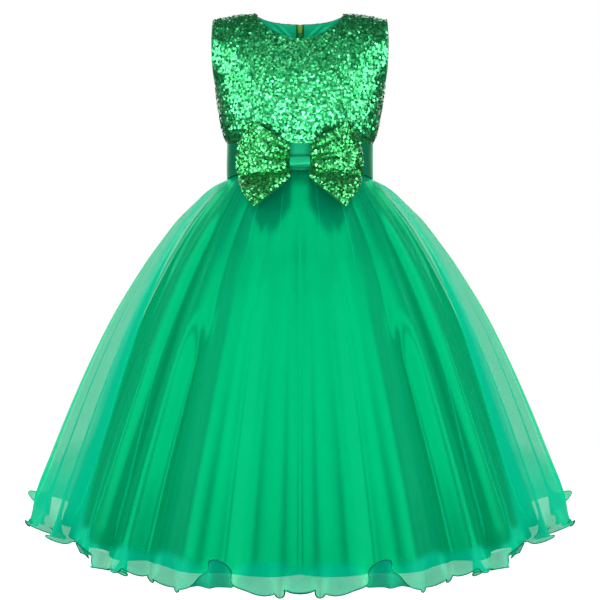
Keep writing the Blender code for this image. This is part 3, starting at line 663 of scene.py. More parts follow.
@dataclass(frozen=True)
class Torso:
    """The form of the bodice and waistband, worked out from its sections."""

    sections: Profile = Profile(
        (
            BodiceSection(-0.2120, 0.1035, 0.0800, 0.0770),
            BodiceSection(-0.2000, 0.1045, 0.0810, 0.0775),
            BodiceSection(-0.1930, 0.1068, 0.0822, 0.0780),
            BodiceSection(-0.1870, 0.1105, 0.0840, 0.0790),
            BodiceSection(-0.1800, 0.1132, 0.0858, 0.0800),
            BodiceSection(-0.1640, 0.1172, 0.0868, 0.0804),
            BodiceSection(-0.1400, 0.1212, 0.0868, 0.0798),
            BodiceSection(-0.1080, 0.1256, 0.0845, 0.0780),
            BodiceSection(-0.0850, 0.1276, 0.0790, 0.0758),
            BodiceSection(-0.0600, 0.1288, 0.0705, 0.0712),
            BodiceSection(-0.0300, 0.1294, 0.0615, 0.0620),
            BodiceSection(0.0000, 0.1296, 0.0560, 0.0520),
        )
    )
    creases: tuple[Crease, ...] = (
        Crease(0.119, -0.052, 0.018, 0.016, 0.0060, 0.0030),
        Crease(0.112, -0.073, 0.022, 0.010, 0.0070, -0.0022),
    )
    waist_half: float = 0.1035
    power: float = 2.4
    shell: float = 0.0015
    seam: float = 0.0003
    shoulder_x: float = 0.1300
    shoulder_drop: float = 0.0080
    neck_x: float = 0.0650
    neck_power: float = 1.8
    neck_rise: float = 0.0350
    front_neck_drop: float = 0.0520
    back_neck_drop: float = 0.0015
    front_round_from: float = -0.0650
    back_round_from: float = -0.0600
    underarm: float = -0.1100
    armhole_share: float = 0.56
    armhole_turn: float = 0.0450
    row_ease: float = 1.55
    band_top: float = -0.1980
    band_top_front: float = -0.2060
    band_bottom: float = -0.2475
    band_bottom_front: float = -0.2430
    band_lap: float = 0.0040
    band_inside: float = 0.0014
    band_curve: float = 4.0
    zip_top_gap: float = 0.0011
    zip_top_reach: float = 0.0340
    crease_ease: float = 0.33
    near_centre: float = 1e-6

    def panels(self, columns: int, start: float) -> dict[str, tuple[Face, Array]]:
        """The places across the front and the two backs.

        Args:
            columns: how many there are from the centre line to a side.
            start: the first place of each back, beside the zip.

        Returns:
            The face and the places of each panel, by its name.
        """
        even = self.across_at(np.linspace(0.0, 1.0, columns))
        half = np.concatenate([[start], even[even > start]])
        return {
            "front": (Face.FRONT, np.concatenate([-even[:0:-1], even])),
            "back_left": (Face.BACK, -half[::-1]),
            "back_right": (Face.BACK, half),
        }

    def front_nearness(self, x: Array, face: Face) -> Array:
        """Where the dress is near its front centre.

        Args:
            x: places across it.
            face: the front or the back.

        Returns:
            1 at the front centre, falling to 0 at the sides and round the back.
        """
        if face is Face.BACK:
            return np.zeros_like(x)
        return 1.0 - np.clip(np.abs(x) / self.waist_half, 0.0, 1.0) ** self.band_curve

    def band_edges(self, x: Array, face: Face) -> tuple[Array, Array]:
        """The waistband's edges.

        Args:
            x: places across it.
            face: the front or the back.

        Returns:
            The heights of its upper and its lower edge.
        """
        near = self.front_nearness(x, face)
        top = self.band_top + (self.band_top_front - self.band_top) * near
        low = self.band_bottom + (self.band_bottom_front - self.band_bottom) * near
        return top, low

    def top_line(self, x: Array, face: Face) -> Array:
        """The neckline and the shoulder seam.

        Args:
            x: places across them.
            face: the front or the back.

        Returns:
            Their height.
        """
        x = np.abs(x)
        out = np.clip((x - self.neck_x) / (self.shoulder_x - self.neck_x), 0.0, None)
        drop = self.front_neck_drop if face is Face.FRONT else self.back_neck_drop
        share = np.clip(x / self.neck_x, 0.0, 1.0)
        neck = (1.0 - share**self.neck_power) ** (1.0 / self.neck_power)
        return -self.shell - self.shoulder_drop * out**2 - drop * neck

    def ridge(self, x: Array) -> Array:
        """Where front and back would meet if there were no neckline.

        Args:
            x: places across the dress.

        Returns:
            The height above each.
        """
        share = np.clip(np.abs(x) / self.neck_x, 0.0, 1.0)
        seam = self.top_line(np.maximum(np.abs(x), self.neck_x), Face.FRONT)
        return seam + self.neck_rise * (1.0 - share**2) ** 2

    def point(self, across: Array, up: Array, face: Face) -> Array:
        """Points on the inside of the sequinned cloth.

        Args:
            across: from 0 at the centre line to 1 at the side, with the side's sign.
            up: from 0 under the waistband to 1 at the top edge.
            face: the front or the back.

        Returns:
            The points.
        """
        side = np.where(across < 0, -1.0, 1.0)
        spread = np.sin(np.pi / 2 * np.abs(across)) ** (2.0 / self.power)
        top = self.top_line(self.shoulder_x * spread, face)
        low = self.band_edges(self.waist_half * spread, face)[0] - self.band_lap
        height = low + (top - low) * (1.0 - (1.0 - up) ** self.row_ease)
        edge = self.sections.at("half_width", height)
        climb = np.clip((height - self.underarm) / self.armhole_turn, 0.0, 1.0)
        cut = self.armhole_share * np.sqrt(1.0 - (1.0 - climb) ** 2)
        full = edge / (1.0 - cut**self.power) ** (1.0 / self.power)
        x = edge * spread
        start = self.front_round_from if face is Face.FRONT else self.back_round_from
        lift = np.clip((height - start) / (self.ridge(x) - start), 0.0, 1.0)
        depth = self.sections.at(face.depth, height) * np.sqrt(1.0 - lift**2)
        share = np.clip(1.0 - (x / full) ** self.power, 0.0, 1.0) ** (1.0 / self.power)
        y = depth * share
        if face is Face.FRONT:
            y = y + creased(self.creases, x, height) * smooth(share / self.crease_ease)
        else:
            x = x + self.zip_gap(height) * (1.0 - np.clip(x / self.waist_half, 0.0, 1.0))
        return stacked(side * x, face.value * (y + self.seam / 2), height)

    def zip_gap(self, height: Array) -> Array:
        """Half the gap between the backs: narrow, and a little open at the slider."""
        return self.seam + (self.zip_top_gap - self.seam) * smooth(1.0 + height / self.zip_top_reach)

    def band_point(self, across: Array, up: Array, face: Face) -> Array:
        """Points on the inside of the waistband.

        Args:
            across: from 0 at the centre line to 1 at the side, with the side's sign.
            up: from 0 at its lower edge to 1 at its upper.
            face: the front or the back.

        Returns:
            The points.
        """
        side = np.where(across < 0, -1.0, 1.0)
        turn = np.pi / 2 * np.abs(across)
        clear = self.shell + self.band_inside
        start = self.seam if face is Face.BACK else 0.0
        half = self.sections.at("half_width", np.array(self.band_top)) + clear
        depth = self.sections.at(face.depth, np.array(self.band_top)) + clear
        x = start + (half - start) * np.sin(turn) ** (2.0 / self.power)
        y = depth * np.cos(turn) ** (2.0 / self.power)
        top, low = self.band_edges(x, face)
        return stacked(side * x, face.value * (y + self.seam / 2), low + (top - low) * up)

    def across_at(self, share: Array) -> Array:
        """The place across a panel that lies at a share of its half width."""
        held = np.clip(np.abs(share), 0.0, 1.0)
        return np.sign(share) * np.arcsin(held ** (self.power / 2.0)) / (np.pi / 2)

    def back_y(self, height: Array) -> Array:
        """The centre back of the bodice.

        Args:
            height: heights from the waistband up.

        Returns:
            How far back its inside lies at each.
        """
        low = self.band_top - self.band_lap
        top = float(self.top_line(np.array(0.0), Face.BACK))
        share = np.clip((height - low) / (top - low), 0.0, 1.0)
        up = 1.0 - (1.0 - share) ** (1.0 / self.row_ease)
        return self.point(np.full_like(up, self.near_centre), up, Face.BACK)[..., 1]


class SkirtSection(NamedTuple):
    """One section of a skirt, on the inside of its cloth."""

    height: float
    half_width: float
    half_depth: float


class Fold(NamedTuple):
    """A fold from the waist to the hem, at an angle from the front centre."""

    angle: float
    rise: float
    lean: float


class Ridge(NamedTuple):
    """A soft ridge of the satin, or a trough where its rise is negative."""

    angle: float
    width: float
    rise: float
    start: float
    end: float


class Flip(NamedTuple):
    """A place where the hem sags and its edge then curls up and outwards."""

    angle: float
    width: float
    out: float
    sag: float
    lift: float


class Tuck(NamedTuple):
    """A crisp fold of doubled cloth that wanders down the skirt: its angle at three heights."""

    top_angle: float
    middle_angle: float
    low_angle: float
    start: float
    end: float
    width: float
    lap: float
    rise: float

    ease_in = 0.08
    ease_out = 0.14

    def angle(self, drop: Array) -> Array:
        """Its angle from the front centre, down the skirt."""
        bend = 2.0 * self.middle_angle - (self.top_angle + self.low_angle) / 2.0
        return (
            self.top_angle * (1.0 - drop) ** 2
            + 2.0 * bend * drop * (1.0 - drop)
            + self.low_angle * drop**2
        )

    def strength(self, drop: Array) -> Array:
        """1 along its length, falling to 0 at its ends."""
        return smooth((drop - self.start) / self.ease_in) * smooth((self.end - drop) / self.ease_out)


@dataclass(frozen=True)
class SkirtForm:
    """A gathered skirt, worked out from its sections and the folds of one half."""

    torso: Torso
    sections: Profile
    front_folds: tuple[Fold, ...]
    back_folds: tuple[Fold, ...]
    waist_share: float = 0.035
    growth: float = 0.85
    roundness: float = 0.75
    waist_half: float = 0.1095
    waist_reach: float = 0.0600
    ridges: tuple[Ridge, ...] = ()
    ridge_ease: float = 0.15

    @property
    def top(self) -> float:
        """The height of the upper edge."""
        return float(self.sections.heights[-1])

    @property
    def hem(self) -> float:
        """The height of the hem."""
        return float(self.sections.heights[0])

    @property
    def counts(self) -> tuple[int, int]:
        """How many folds one half has in all, and how many of them are at the front."""
        return len(self.front_folds) + len(self.back_folds), len(self.front_folds)

    def _fold(self, place: Array) -> tuple[Array, Array, Array]:
        """Finds where on its folds the skirt is.

        Args:
            place: folds from the front centre.

        Returns:
            The angle, and the fold's rise and lean there.
        """
        folds = (*self.front_folds, *self.back_folds)
        angles = np.array([fold.angle for fold in folds])
        valleys = np.concatenate([[0.0], (angles[:-1] + angles[1:]) / 2, [180.0]])
        valleys[len(self.front_folds)] = 90.0
        index = np.minimum(place.astype(int), len(folds) - 1)
        share = place - index
        start, end = valleys[index], valleys[index + 1]
        middle = (angles[index] - start) / (end - start)
        bell = np.sin(np.pi * share)
        angle = start + (end - start) * (share + (middle - 0.5) * bell**2)
        rise = np.array([fold.rise for fold in folds])[index]
        lean = np.array([fold.lean for fold in folds])[index]
        return np.radians(angle), rise * np.clip(bell, 0.0, 1.0) ** (2.0 * self.roundness), lean

    def point(self, place: Array, height: Array) -> Array:
        """Points on the inside of the skirt's cloth.

        Args:
            place: folds from the front centre, with the side's sign.
            height: the height before the waist's rise at the front.

        Returns:
            The points.
        """
        side = np.where(place < 0, -1.0, 1.0)
        angle, rise, lean = self._fold(np.abs(place))
        drop = np.clip((self.top - height) / (self.top - self.hem), 0.0, 1.0)
        out = rise * (self.waist_share + (1.0 - self.waist_share) * drop**self.growth)
        for ridge in self.ridges:
            share = np.exp(-(((np.degrees(angle) - ridge.angle) / ridge.width) ** 2))
            reach = smooth((drop - ridge.start) / self.ridge_ease)
            reach = reach * smooth((ridge.end - drop) / self.ridge_ease)
            out = out + ridge.rise * share * reach
        half_width = self.sections.at("half_width", height)
        half_depth = self.sections.at("half_depth", height)
        angle = angle + lean * out / half_width
        lifted = height + self._waist_rise(angle, self.top - height)
        x = (half_width + out) * np.sin(angle)
        return stacked(side * x, -(half_depth + out) * np.cos(angle), lifted)

    def _waist_rise(self, angle: Array, drop: Array) -> Array:
        """How far the upper rows rise at the front, to follow the waistband.

        Args:
            angle: the angle from the front centre.
            drop: how far below the upper edge.

        Returns:
            The rise.
        """
        near = self.torso.front_nearness(self.waist_half * np.sin(angle), Face.FRONT)
        near = np.where(np.cos(angle) > 0.0, near, 0.0)
        rise = self.torso.band_bottom_front - self.torso.band_bottom
        return rise * near * (1.0 - smooth(drop / self.waist_reach))


class Gather(NamedTuple):
    """One train of small pleats. Two of them beat, so that the gathers are uneven."""

    size: float
    pace: float
    start: float
    wobble: float
    beat: float

    def rise(self, turn: Array, count: Array) -> Array:
        """Its rise, sharp at each pleat."""
        return self.size * (
            1.0 - np.abs(np.sin(self.pace * turn + self.start + self.wobble * np.sin(self.beat * count)))
        )


@dataclass(frozen=True)
class OverskirtForm(SkirtForm):
    """The organza skirt: the same, with gathers, crisp lines and a ruffled hem."""

    tucks: tuple[Tuck, ...] = (
        Tuck(9.0, 5.5, 5.0, -0.10, 0.30, 0.060, 1.7, 0.0014),
        Tuck(21.5, 17.5, 18.0, -0.05, 0.36, 0.060, 1.8, 0.0014),
        Tuck(33.0, 27.0, 26.5, -0.10, 0.34, 0.060, 1.8, 0.0014),
        Tuck(41.0, 36.5, 35.7, 0.42, 0.99, 0.080, 2.0, 0.0020),
        Tuck(54.0, 40.5, 44.0, 0.02, 0.99, 0.100, 2.2, 0.0020),
        Tuck(63.0, 56.0, 57.0, 0.10, 1.00, 0.220, 2.3, 0.0026),
        Tuck(82.0, 80.0, 79.0, 0.05, 0.99, 0.240, 2.4, 0.0030),
        Tuck(109.0, 113.0, 112.0, 0.00, 0.80, 0.200, 2.2, 0.0028),
        Tuck(122.0, 126.0, 127.0, 0.05, 0.99, 0.220, 2.3, 0.0030),
        Tuck(140.0, 139.0, 142.0, 0.00, 0.70, 0.160, 2.3, 0.0034),
        Tuck(153.0, 156.0, 155.0, 0.08, 0.98, 0.150, 2.4, 0.0034),
        Tuck(169.0, 168.0, 170.0, 0.00, 0.45, 0.100, 2.1, 0.0024),
    )
    flips: tuple[Flip, ...] = (
        Flip(0.0, 2.8, 0.018, 0.012, 0.005),
        Flip(13.0, 3.3, 0.018, 0.018, 0.039),
        Flip(29.0, 3.5, 0.000, 0.000, 0.011),
        Flip(36.0, 2.5, 0.006, 0.004, 0.010),
        Flip(39.5, 2.6, -0.018, 0.000, 0.000),
        Flip(43.5, 2.6, 0.002, 0.000, 0.026),
        Flip(52.0, 4.0, 0.000, 0.000, 0.012),
        Flip(62.0, 9.0, -0.006, 0.000, 0.014),
        Flip(75.5, 3.0, 0.012, 0.006, 0.016),
        Flip(80.5, 3.5, -0.014, 0.000, 0.000),
        Flip(101.0, 4.5, 0.026, 0.004, 0.018),
        Flip(143.0, 3.5, 0.016, 0.010, 0.028),
    )
    ruffle_top: float = -0.7000
    ruffle_out: float = 0.0085
    ruffle_along: float = 0.0050
    ruffle_lift: float = 0.0080
    ruffles_per_fold: float = 2.0
    ruffle_wander: float = 0.05
    ruffle_curve: float = 1.6
    ruffle_uneven: float = 0.35
    ruffle_beat: float = 2.3
    frills_per_fold: float = 4.2
    frill_wander: float = 0.08
    frill_out: float = 0.0020
    frill_along: float = 0.0033
    frill_lift: float = 0.0032
    frill_level: float = 0.45
    frill_uneven: float = 0.45
    frill_beat: float = 2.9
    frill_second: float = 0.5
    frill_second_pace: float = 1.7
    gathers: tuple[Gather, ...] = (Gather(1.0, 1.0, 0.0, 0.9, 3.1), Gather(0.8, 0.63, 1.0, 0.8, 2.3))
    gather_rise: float = 0.0010
    gather_reach: float = 0.11
    gather_swings: tuple[tuple[float, float], ...] = ((0.6, 5.3), (0.3, 11.0))
    gather_start: float = 0.02
    gather_growth: float = 5.0
    gathers_per_fold: float = 4.0
    tuck_reach: float = 1.7
    tuck_fall: float = 2.5
    closest: float = 1e-4
    samples: int = 1200
    half_cloth: float = 0.0005
    front_cover: float = 0.33
    close_cover: float = 0.94
    side_cover: float = 0.63
    low_side_cover: float = 0.85
    low_side_top: float = -0.640
    low_side_reach: float = 0.045
    hem_cover: float = 0.90
    close_from: float = 0.825
    close_ease: float = 0.035
    loose_from: float = 0.900
    loose_ease: float = 0.060
    close_climb: float = 0.36
    ruffle_cover_top: float = -0.714
    ruffle_cover_reach: float = 0.013

    def anchors(self) -> Array:
        """The columns that follow the tucks, between those that follow the seams."""
        total, front = self.counts
        middles = [self._middle(tuck) for tuck in self.tucks]
        return np.array(sorted([0.0, float(front), float(total), *middles]))

    def columns(self, start: float, end: float, steps: int, fine: int) -> Array:
        """Columns of cloth from one seam to another, with more of them at the tucks.

        Args:
            start: the first column, in folds from the front centre.
            end: the last one.
            steps: how many there are to a fold.
            fine: how many more there are at each tuck.

        Returns:
            The columns.
        """
        found = [np.linspace(start, end, int(round((end - start) * steps)) + 1)]
        for tuck in self.tucks:
            middle = self._middle(tuck)
            for side in (-1.0, 1.0):
                near = side * middle + tuck.width * np.linspace(-self.tuck_reach, self.tuck_reach, fine)
                found.append(near[(near > start) & (near < end)])
        both = np.unique(np.concatenate(found))
        return both[np.concatenate([[True], np.diff(both) > self.closest])]

    def _place_of(self, angle: Array) -> Array:
        """The place, in folds from the front centre, that lies at an angle."""
        places = np.linspace(0.0, float(self.counts[0]), self.samples)
        return np.interp(angle, np.degrees(self._fold(places)[0]), places)

    def _middle(self, tuck: Tuck) -> float:
        """The column of cloth that a tuck lies on, found halfway down the skirt."""
        return float(self._place_of(tuck.angle(np.array(0.5))))

    def _follow(self, column: Array, drop: Array) -> tuple[Array, Array]:
        """Finds where columns of cloth lie at a height.

        Args:
            column: columns, in folds from the front centre.
            drop: from 0 at the waist to 1 at the hem.

        Returns:
            Their places, and how far tucks lift them off the skirt.
        """
        total, front = self.counts
        anchors = self.anchors()
        places = {0.0: 0.0 * drop, float(front): front + 0.0 * drop, float(total): total + 0.0 * drop}
        shift, lift = np.zeros_like(column), np.zeros_like(column)
        for tuck in self.tucks:
            middle = self._middle(tuck)
            places[middle] = self._place_of(tuck.angle(drop))
            strength = tuck.strength(drop)
            share = (column - middle) / tuck.width
            shift -= strength * tuck.lap * tuck.width * share * np.exp(-(share**2))
            past = np.clip(share - 1.0, 0.0, None)
            ramp = smooth((share + 1.0) / 2.0) * np.exp(-past / self.tuck_fall)
            lift += strength * tuck.rise * ramp
        laid = column + shift
        place = np.zeros_like(column)
        for low, high in zip(anchors, anchors[1:]):
            share = (laid - low) / (high - low)
            inside = (laid >= low) & (laid <= high)
            start, end = places[float(low)], places[float(high)]
            place = np.where(inside, start + (end - start) * share, place)
        return np.clip(place, 0.0, float(total)), lift

    def point(self, place: Array, height: Array) -> Array:
        """Points on the organza, from the waist to the ruffled hem.

        Args:
            place: columns of cloth, in folds from the front centre, with the side's sign.
            height: the height before the waist's rise at the front.

        Returns:
            The points.
        """
        side = np.where(place < 0, -1.0, 1.0)
        drop = np.clip((self.top - height) / (self.top - self.hem), 0.0, 1.0)
        count, tucked = self._follow(np.abs(place), drop)
        point = super().point(side * count, height)
        outward = unit(point * LEVEL)
        along = stacked(-outward[..., 1], outward[..., 0], np.zeros_like(side)) * side[..., None]
        angle = np.degrees(np.arctan2(np.abs(point[..., 0]), -point[..., 1]))
        curl = np.clip((self.ruffle_top - height) / (self.ruffle_top - self.hem), 0.0, 1.0)
        curl = curl**self.ruffle_curve
        wander = self.ruffle_wander * np.sin(2 * np.pi * count)
        phase = 2 * np.pi * self.ruffles_per_fold * (count + wander)
        size = 1.0 + self.ruffle_uneven * np.cos(self.ruffle_beat * count)
        out = self.ruffle_out * size * np.cos(phase) * curl
        lift = self.ruffle_lift * size * (0.5 + 0.5 * np.cos(phase)) * curl
        for flip in self.flips:
            share = np.exp(-(((angle - flip.angle) / flip.width) ** 2))
            out = out + flip.out * share * curl
            lift = lift + share * (flip.lift * curl**3 - 4.0 * flip.sag * curl * (1.0 - curl))
        out = out + self.half_cloth + self._gathers(np.abs(place), drop) + tucked
        shift = self.ruffle_along * size * np.sin(phase) * curl
        frill = self._frill(count, curl)
        shift += self.frill_along * frill[0]
        out += self.frill_out * frill[1]
        lift += self.frill_lift * frill[1]
        return point + outward * out[..., None] + along * shift[..., None] + up_by(lift)

    def _frill(self, count: Array, curl: Array) -> tuple[Array, Array]:
        """Small uneven waves of the rolled edge.

        Args:
            count: places in folds from the front centre.
            curl: from 0 at the ruffles' top to 1 at the edge.

        Returns:
            The waves' run along the edge and their rise, as shares of their largest.
        """
        second = np.cos(self.frill_second_pace * self.frill_beat * count)
        beat = np.cos(self.frill_beat * count) + self.frill_second * second
        size = np.clip(self.frill_level + self.frill_uneven * beat, 0.0, None) * curl**2
        wander = self.frill_wander * np.sin(self.frill_beat * count)
        phase = 2 * np.pi * self.frills_per_fold * (count + wander)
        return size * np.sin(phase), -size * np.cos(phase)

    def cover(self, points: Array, height: Array, under: SkirtForm) -> Array:
        """How much of what lies behind it the cloth covers, from 0 to 1.

        Args:
            points: points of the cloth.
            height: the height of each before the hem's ruffles.
            under: the satin skirt, beside which gathered cloth lies closer together.

        Returns:
            The cover at each point.
        """
        beside = np.abs(points[..., 0]) / under.sections.at("half_width", height)
        beside = beside - self.close_climb * (height - self.hem)
        close = smooth((beside - self.close_from) / self.close_ease)
        loose = smooth((beside - self.loose_from) / self.loose_ease)
        ruffle = smooth((self.ruffle_cover_top - height) / self.ruffle_cover_reach)
        body = self.front_cover + (self.close_cover - self.front_cover) * close
        low = smooth((self.low_side_top - height) / self.low_side_reach)
        side = self.side_cover + (self.low_side_cover - self.side_cover) * low
        body = body + (side - self.close_cover) * loose
        return body + (self.hem_cover - body) * ruffle

    def _gathers(self, count: Array, drop: Array) -> Array:
        """Small pleats from the waist seam, which fade out down the skirt.

        Args:
            count: folds from the front centre.
            drop: from 0 at the waist to 1 at the hem.

        Returns:
            How far they stand out.
        """
        turn = np.pi * count * self.gathers_per_fold
        pleats = sum(gather.rise(turn, count) for gather in self.gathers)
        swing = sum(size * np.sin(beat * count) for size, beat in self.gather_swings)
        fade = np.exp(-drop / (self.gather_reach * (1.0 + swing))) * smooth(drop / self.gather_start)
        return self.gather_rise * pleats * fade * (1.0 + self.gather_growth * drop)


def up_by(lift: Array) -> Array:
    """Vectors that point straight up."""
    return stacked(np.zeros_like(lift), np.zeros_like(lift), lift)


# Meshes


@dataclass
class Patch:
    """A grid of points on a cloth, with the directions out of it and its coordinates."""

    points: Array
    normals: Array
    cloth: Array

    @classmethod
    def of(cls, surface: Surface, places: Array, rows: Array) -> "Patch":
        """Samples a surface.

        Args:
            surface: gives the points for places and rows.
            places: the first parameter's values.
            rows: the second parameter's values.

        Returns:
            The grid.
        """
        s, t = np.meshgrid(places, rows)
        points = surface(s, t)
        normals = unit(np.cross(np.gradient(points, axis=1), np.gradient(points, axis=0)))
        u = arc_length(points, axis=1)[points.shape[0] // 2]
        v = arc_length(points, axis=0)[:, points.shape[1] // 2]
        return cls(points, normals, np.stack(np.meshgrid(u, v), axis=-1))

    def turn_out(self, way: Array) -> None:
        """Turns the normals round where they point against rough directions out of the cloth."""
        if np.sum(self.normals * way) < 0.0:
            self.normals *= -1.0

    def moved(self, distance: float) -> Array:
        """The points, moved out of the cloth."""
        return self.points + self.normals * distance


def arc_length(points: Array, axis: int) -> Array:
    """The distance travelled along one axis of a grid.

    Args:
        points: the grid.
        axis: the axis.

    Returns:
        The distance of each point, from 0.
    """
    steps = np.linalg.norm(np.diff(points, axis=axis), axis=-1)
    start = np.zeros_like(np.take(steps, [0], axis=axis))
    return np.cumsum(np.concatenate([start, steps], axis=axis), axis=axis)


def grid_faces(rows: int, columns: int) -> Array:
    """Quads between the points of a grid.

    Args:
        rows: how many rows of points there are.
        columns: how many points a row has.

    Returns:
        The indices of each quad's points.
    """
    row, column = np.meshgrid(np.arange(rows - 1), np.arange(columns - 1), indexing="ij")
    first = (row * columns + column).ravel()
    return np.stack([first, first + 1, first + columns + 1, first + columns], axis=1)


def new_object(
    name: str, points: Array, faces: Array, cloth: Array, material: bpy.types.Material
) -> bpy.types.Object:
    """Makes a mesh object.

    Args:
        name: the object's name.
        points: its points.
        faces: their indices, with the same number in every face.
        cloth: the coordinates on the cloth of each point.
        material: its finish.

    Returns:
        The object.
    """
    data = bpy.data.meshes.new(name)
    data.from_pydata(points.reshape(-1, 3).tolist(), [], faces.tolist())
    layer = data.uv_layers.new(name=CLOTH)
    layer.data.foreach_set("uv", cloth.reshape(-1, 2)[faces.ravel()].ravel().astype(np.float32))
    data.shade_smooth()
    data.materials.append(material)
    made = bpy.data.objects.new(name, data)
    bpy.context.scene.collection.objects.link(made)
    return made


def sheet_object(name: str, patch: Patch, material: bpy.types.Material) -> bpy.types.Object:
    """A single layer of cloth."""
    rows, columns = patch.points.shape[:2]
    return new_object(name, patch.points, grid_faces(rows, columns), patch.cloth, material)


def wall_object(
    name: str, patch: Patch, inner: float, outer: float, material: bpy.types.Material
) -> bpy.types.Object:
    """Makes cloth with a thickness, closed round its edges.

    Args:
        name: the object's name.
        patch: the form.
        inner: the distance of its inner side from the patch.
        outer: the distance of its outer side.
        material: its finish.

    Returns:
        The object.
    """
    rows, columns = patch.points.shape[:2]
    count = rows * columns
    faces = grid_faces(rows, columns)
    index = np.arange(count).reshape(rows, columns)
    loop = np.concatenate([index[0, :-1], index[:-1, -1], index[-1, :0:-1], index[:0:-1, 0]])
    after = np.roll(loop, -1)
    rim = np.stack([loop + count, loop, after, after + count], axis=1)
    points = np.concatenate([patch.moved(inner).reshape(-1, 3), patch.moved(outer).reshape(-1, 3)])
    cloth = np.concatenate([patch.cloth.reshape(-1, 2)] * 2)
    all_faces = np.concatenate([faces, faces[:, ::-1] + count, rim])
    made = new_object(name, points, all_faces, cloth, material)
    made.data.set_sharp_from_angle(angle=math.radians(SHARP_DEGREES))
    return made


def tube_object(
    name: str, path: Array, radius: float, sides: int, material: bpy.types.Material
) -> bpy.types.Object:
    """Makes a thin round thread along a path.

    Args:
        name: the object's name.
        path: the points of its middle.
        radius: its radius.
        sides: how many sides it has.
        material: its finish.

    Returns:
        The object.
    """
    tangent = unit(np.gradient(path, axis=0))
    side = unit(np.cross(tangent, np.array((0.0, 0.0, 1.0))))
    up = np.cross(side, tangent)
    turns = np.linspace(0.0, 2 * np.pi, sides + 1)
    ring = np.cos(turns)[None, :, None] * side[:, None] + np.sin(turns)[None, :, None] * up[:, None]
    cloth = np.stack(np.meshgrid(turns * radius, arc_length(path, axis=0)), axis=-1)[..., ::-1]
    points = path[:, None] + radius * ring
    return new_object(name, points, grid_faces(len(path), sides + 1), cloth, material)


def give_values(piece: bpy.types.Object, name: str, values: Array) -> None:
    """Stores a number at each point of a mesh, for its finish to read."""
    layer = piece.data.attributes.new(name, "FLOAT", "POINT")
    layer.data.foreach_set("value", values.ravel().astype(np.float32))


class Frames(NamedTuple):
    """Places on a cloth, with the directions out of, along and down it."""

    points: Array
    normal: Array
    along: Array
    down: Array


@dataclass
class Scatter:
    """Places on a cloth for small things, evenly spaced in rows, a little shaken."""

    surface: Surface
    spacing: float
    seed: int
    row_share: float = 0.9
    shake: float = 0.12
    drift: float = 0.10
    shifts: tuple[float, float] = (0.75, 0.25)
    samples: int = 200

    def __post_init__(self) -> None:
        """Starts the random draws."""
        self.random = np.random.default_rng(self.seed)

    def rows(self, s_range: tuple[float, float], t_range: tuple[float, float]) -> tuple[Array, Array]:
        """Spreads places over a surface.

        Args:
            s_range: the first parameter's ends.
            t_range: the second parameter's ends.

        Returns:
            The two parameters of each place.
        """
        fine = self.samples
        down = np.linspace(*t_range, fine)
        run = arc_length(self.surface(np.full(fine, sum(s_range) / 2), down), axis=0)
        count = max(2, int(run[-1] / (self.spacing * self.row_share)))
        heights = np.interp((np.arange(count) + 0.5) / count * run[-1], run, down)
        across = np.linspace(*s_range, fine)
        found = []
        for number, height in enumerate(heights):
            run = arc_length(self.surface(across, np.full(fine, height)), axis=0)
            places = max(2, int(run[-1] / self.spacing))
            spots = (np.arange(places) + self.shifts[number % 2]) / places * run[-1]
            spots += self.random.normal(0.0, self.shake * self.spacing, places)
            s = np.interp(spots, run, across)
            drift = self.random.normal(0.0, self.drift, places) * (down[1] - down[0]) * fine / count
            found.append(np.stack([s, np.clip(height + drift, *sorted(t_range))], axis=1))
        both = np.concatenate(found)
        return both[:, 0], both[:, 1]

    def frames(self, s: Array, t: Array, step: float, lift: float) -> Frames:
        """Points and directions on the outside of a closed or rounded cloth.

        Args:
            s: the first parameter of each place.
            t: the second parameter of each place.
            step: how far to look each way for the cloth's slope.
            lift: the distance of the outside from the surface.

        Returns:
            The points, and the directions out of, along and down the cloth there.
        """
        points = self.surface(s, t)
        across = self.surface(s + step, t) - self.surface(s - step, t)
        down = self.surface(s, t + step) - self.surface(s, t - step)
        normal = unit(np.cross(across, down))
        if np.sum(normal * (points - points.mean(axis=0))) < 0.0:
            normal = -normal
        along = unit(across)
        return Frames(points + normal * lift, normal, along, np.cross(normal, along))


@dataclass(frozen=True)
class SequinCloth:
    """How sequins lie on their net."""

    radius: float = 0.0020
    spacing: float = 0.0027
    tilt: float = 0.16
    sag: float = 0.5
    lift: float = 0.0004
    clearance: float = 0.8
    size_range: tuple[float, float] = (0.92, 1.08)
    tones: tuple[float, float] = (1.6, 1.8)
    sides: int = 8

    def sew(
        self, name: str, frames: Frames, material: bpy.types.Material, seed: int
    ) -> bpy.types.Object:
        """Makes one mesh of many discs.

        Args:
            name: the mesh's name.
            frames: where they are sewn on.
            material: the finish.
            seed: what the tilts and tones are drawn from.

        Returns:
            The object.
        """
        points, normal, along, down = frames
        random = np.random.default_rng(seed)
        count = len(points)
        tip = random.normal(0.0, self.tilt, (count, 2))
        facing = unit(normal + along * tip[:, :1] + down * (tip[:, 1:] - self.sag * self.tilt))
        first = unit(np.cross(facing, down))
        second = np.cross(facing, first)
        size = self.radius * random.uniform(*self.size_range, (count, 1, 1))
        raise_by = self.lift + self.radius * self.clearance * np.abs(tip).max(axis=1)
        centre = points + normal * raise_by[:, None]
        turns = np.arange(self.sides) * 2 * np.pi / self.sides
        ring = np.cos(turns)[None, :, None] * first[:, None] + np.sin(turns)[None, :, None] * second[:, None]
        corners = centre[:, None] + size * ring
        faces = np.arange(count * self.sides).reshape(count, self.sides)
        made = new_object(name, corners, faces, corners[..., :2], material)
        made.data.shade_flat()
        give_values(made, "tone", np.repeat(random.beta(*self.tones, count), self.sides))
        return made


# Sub-assemblies


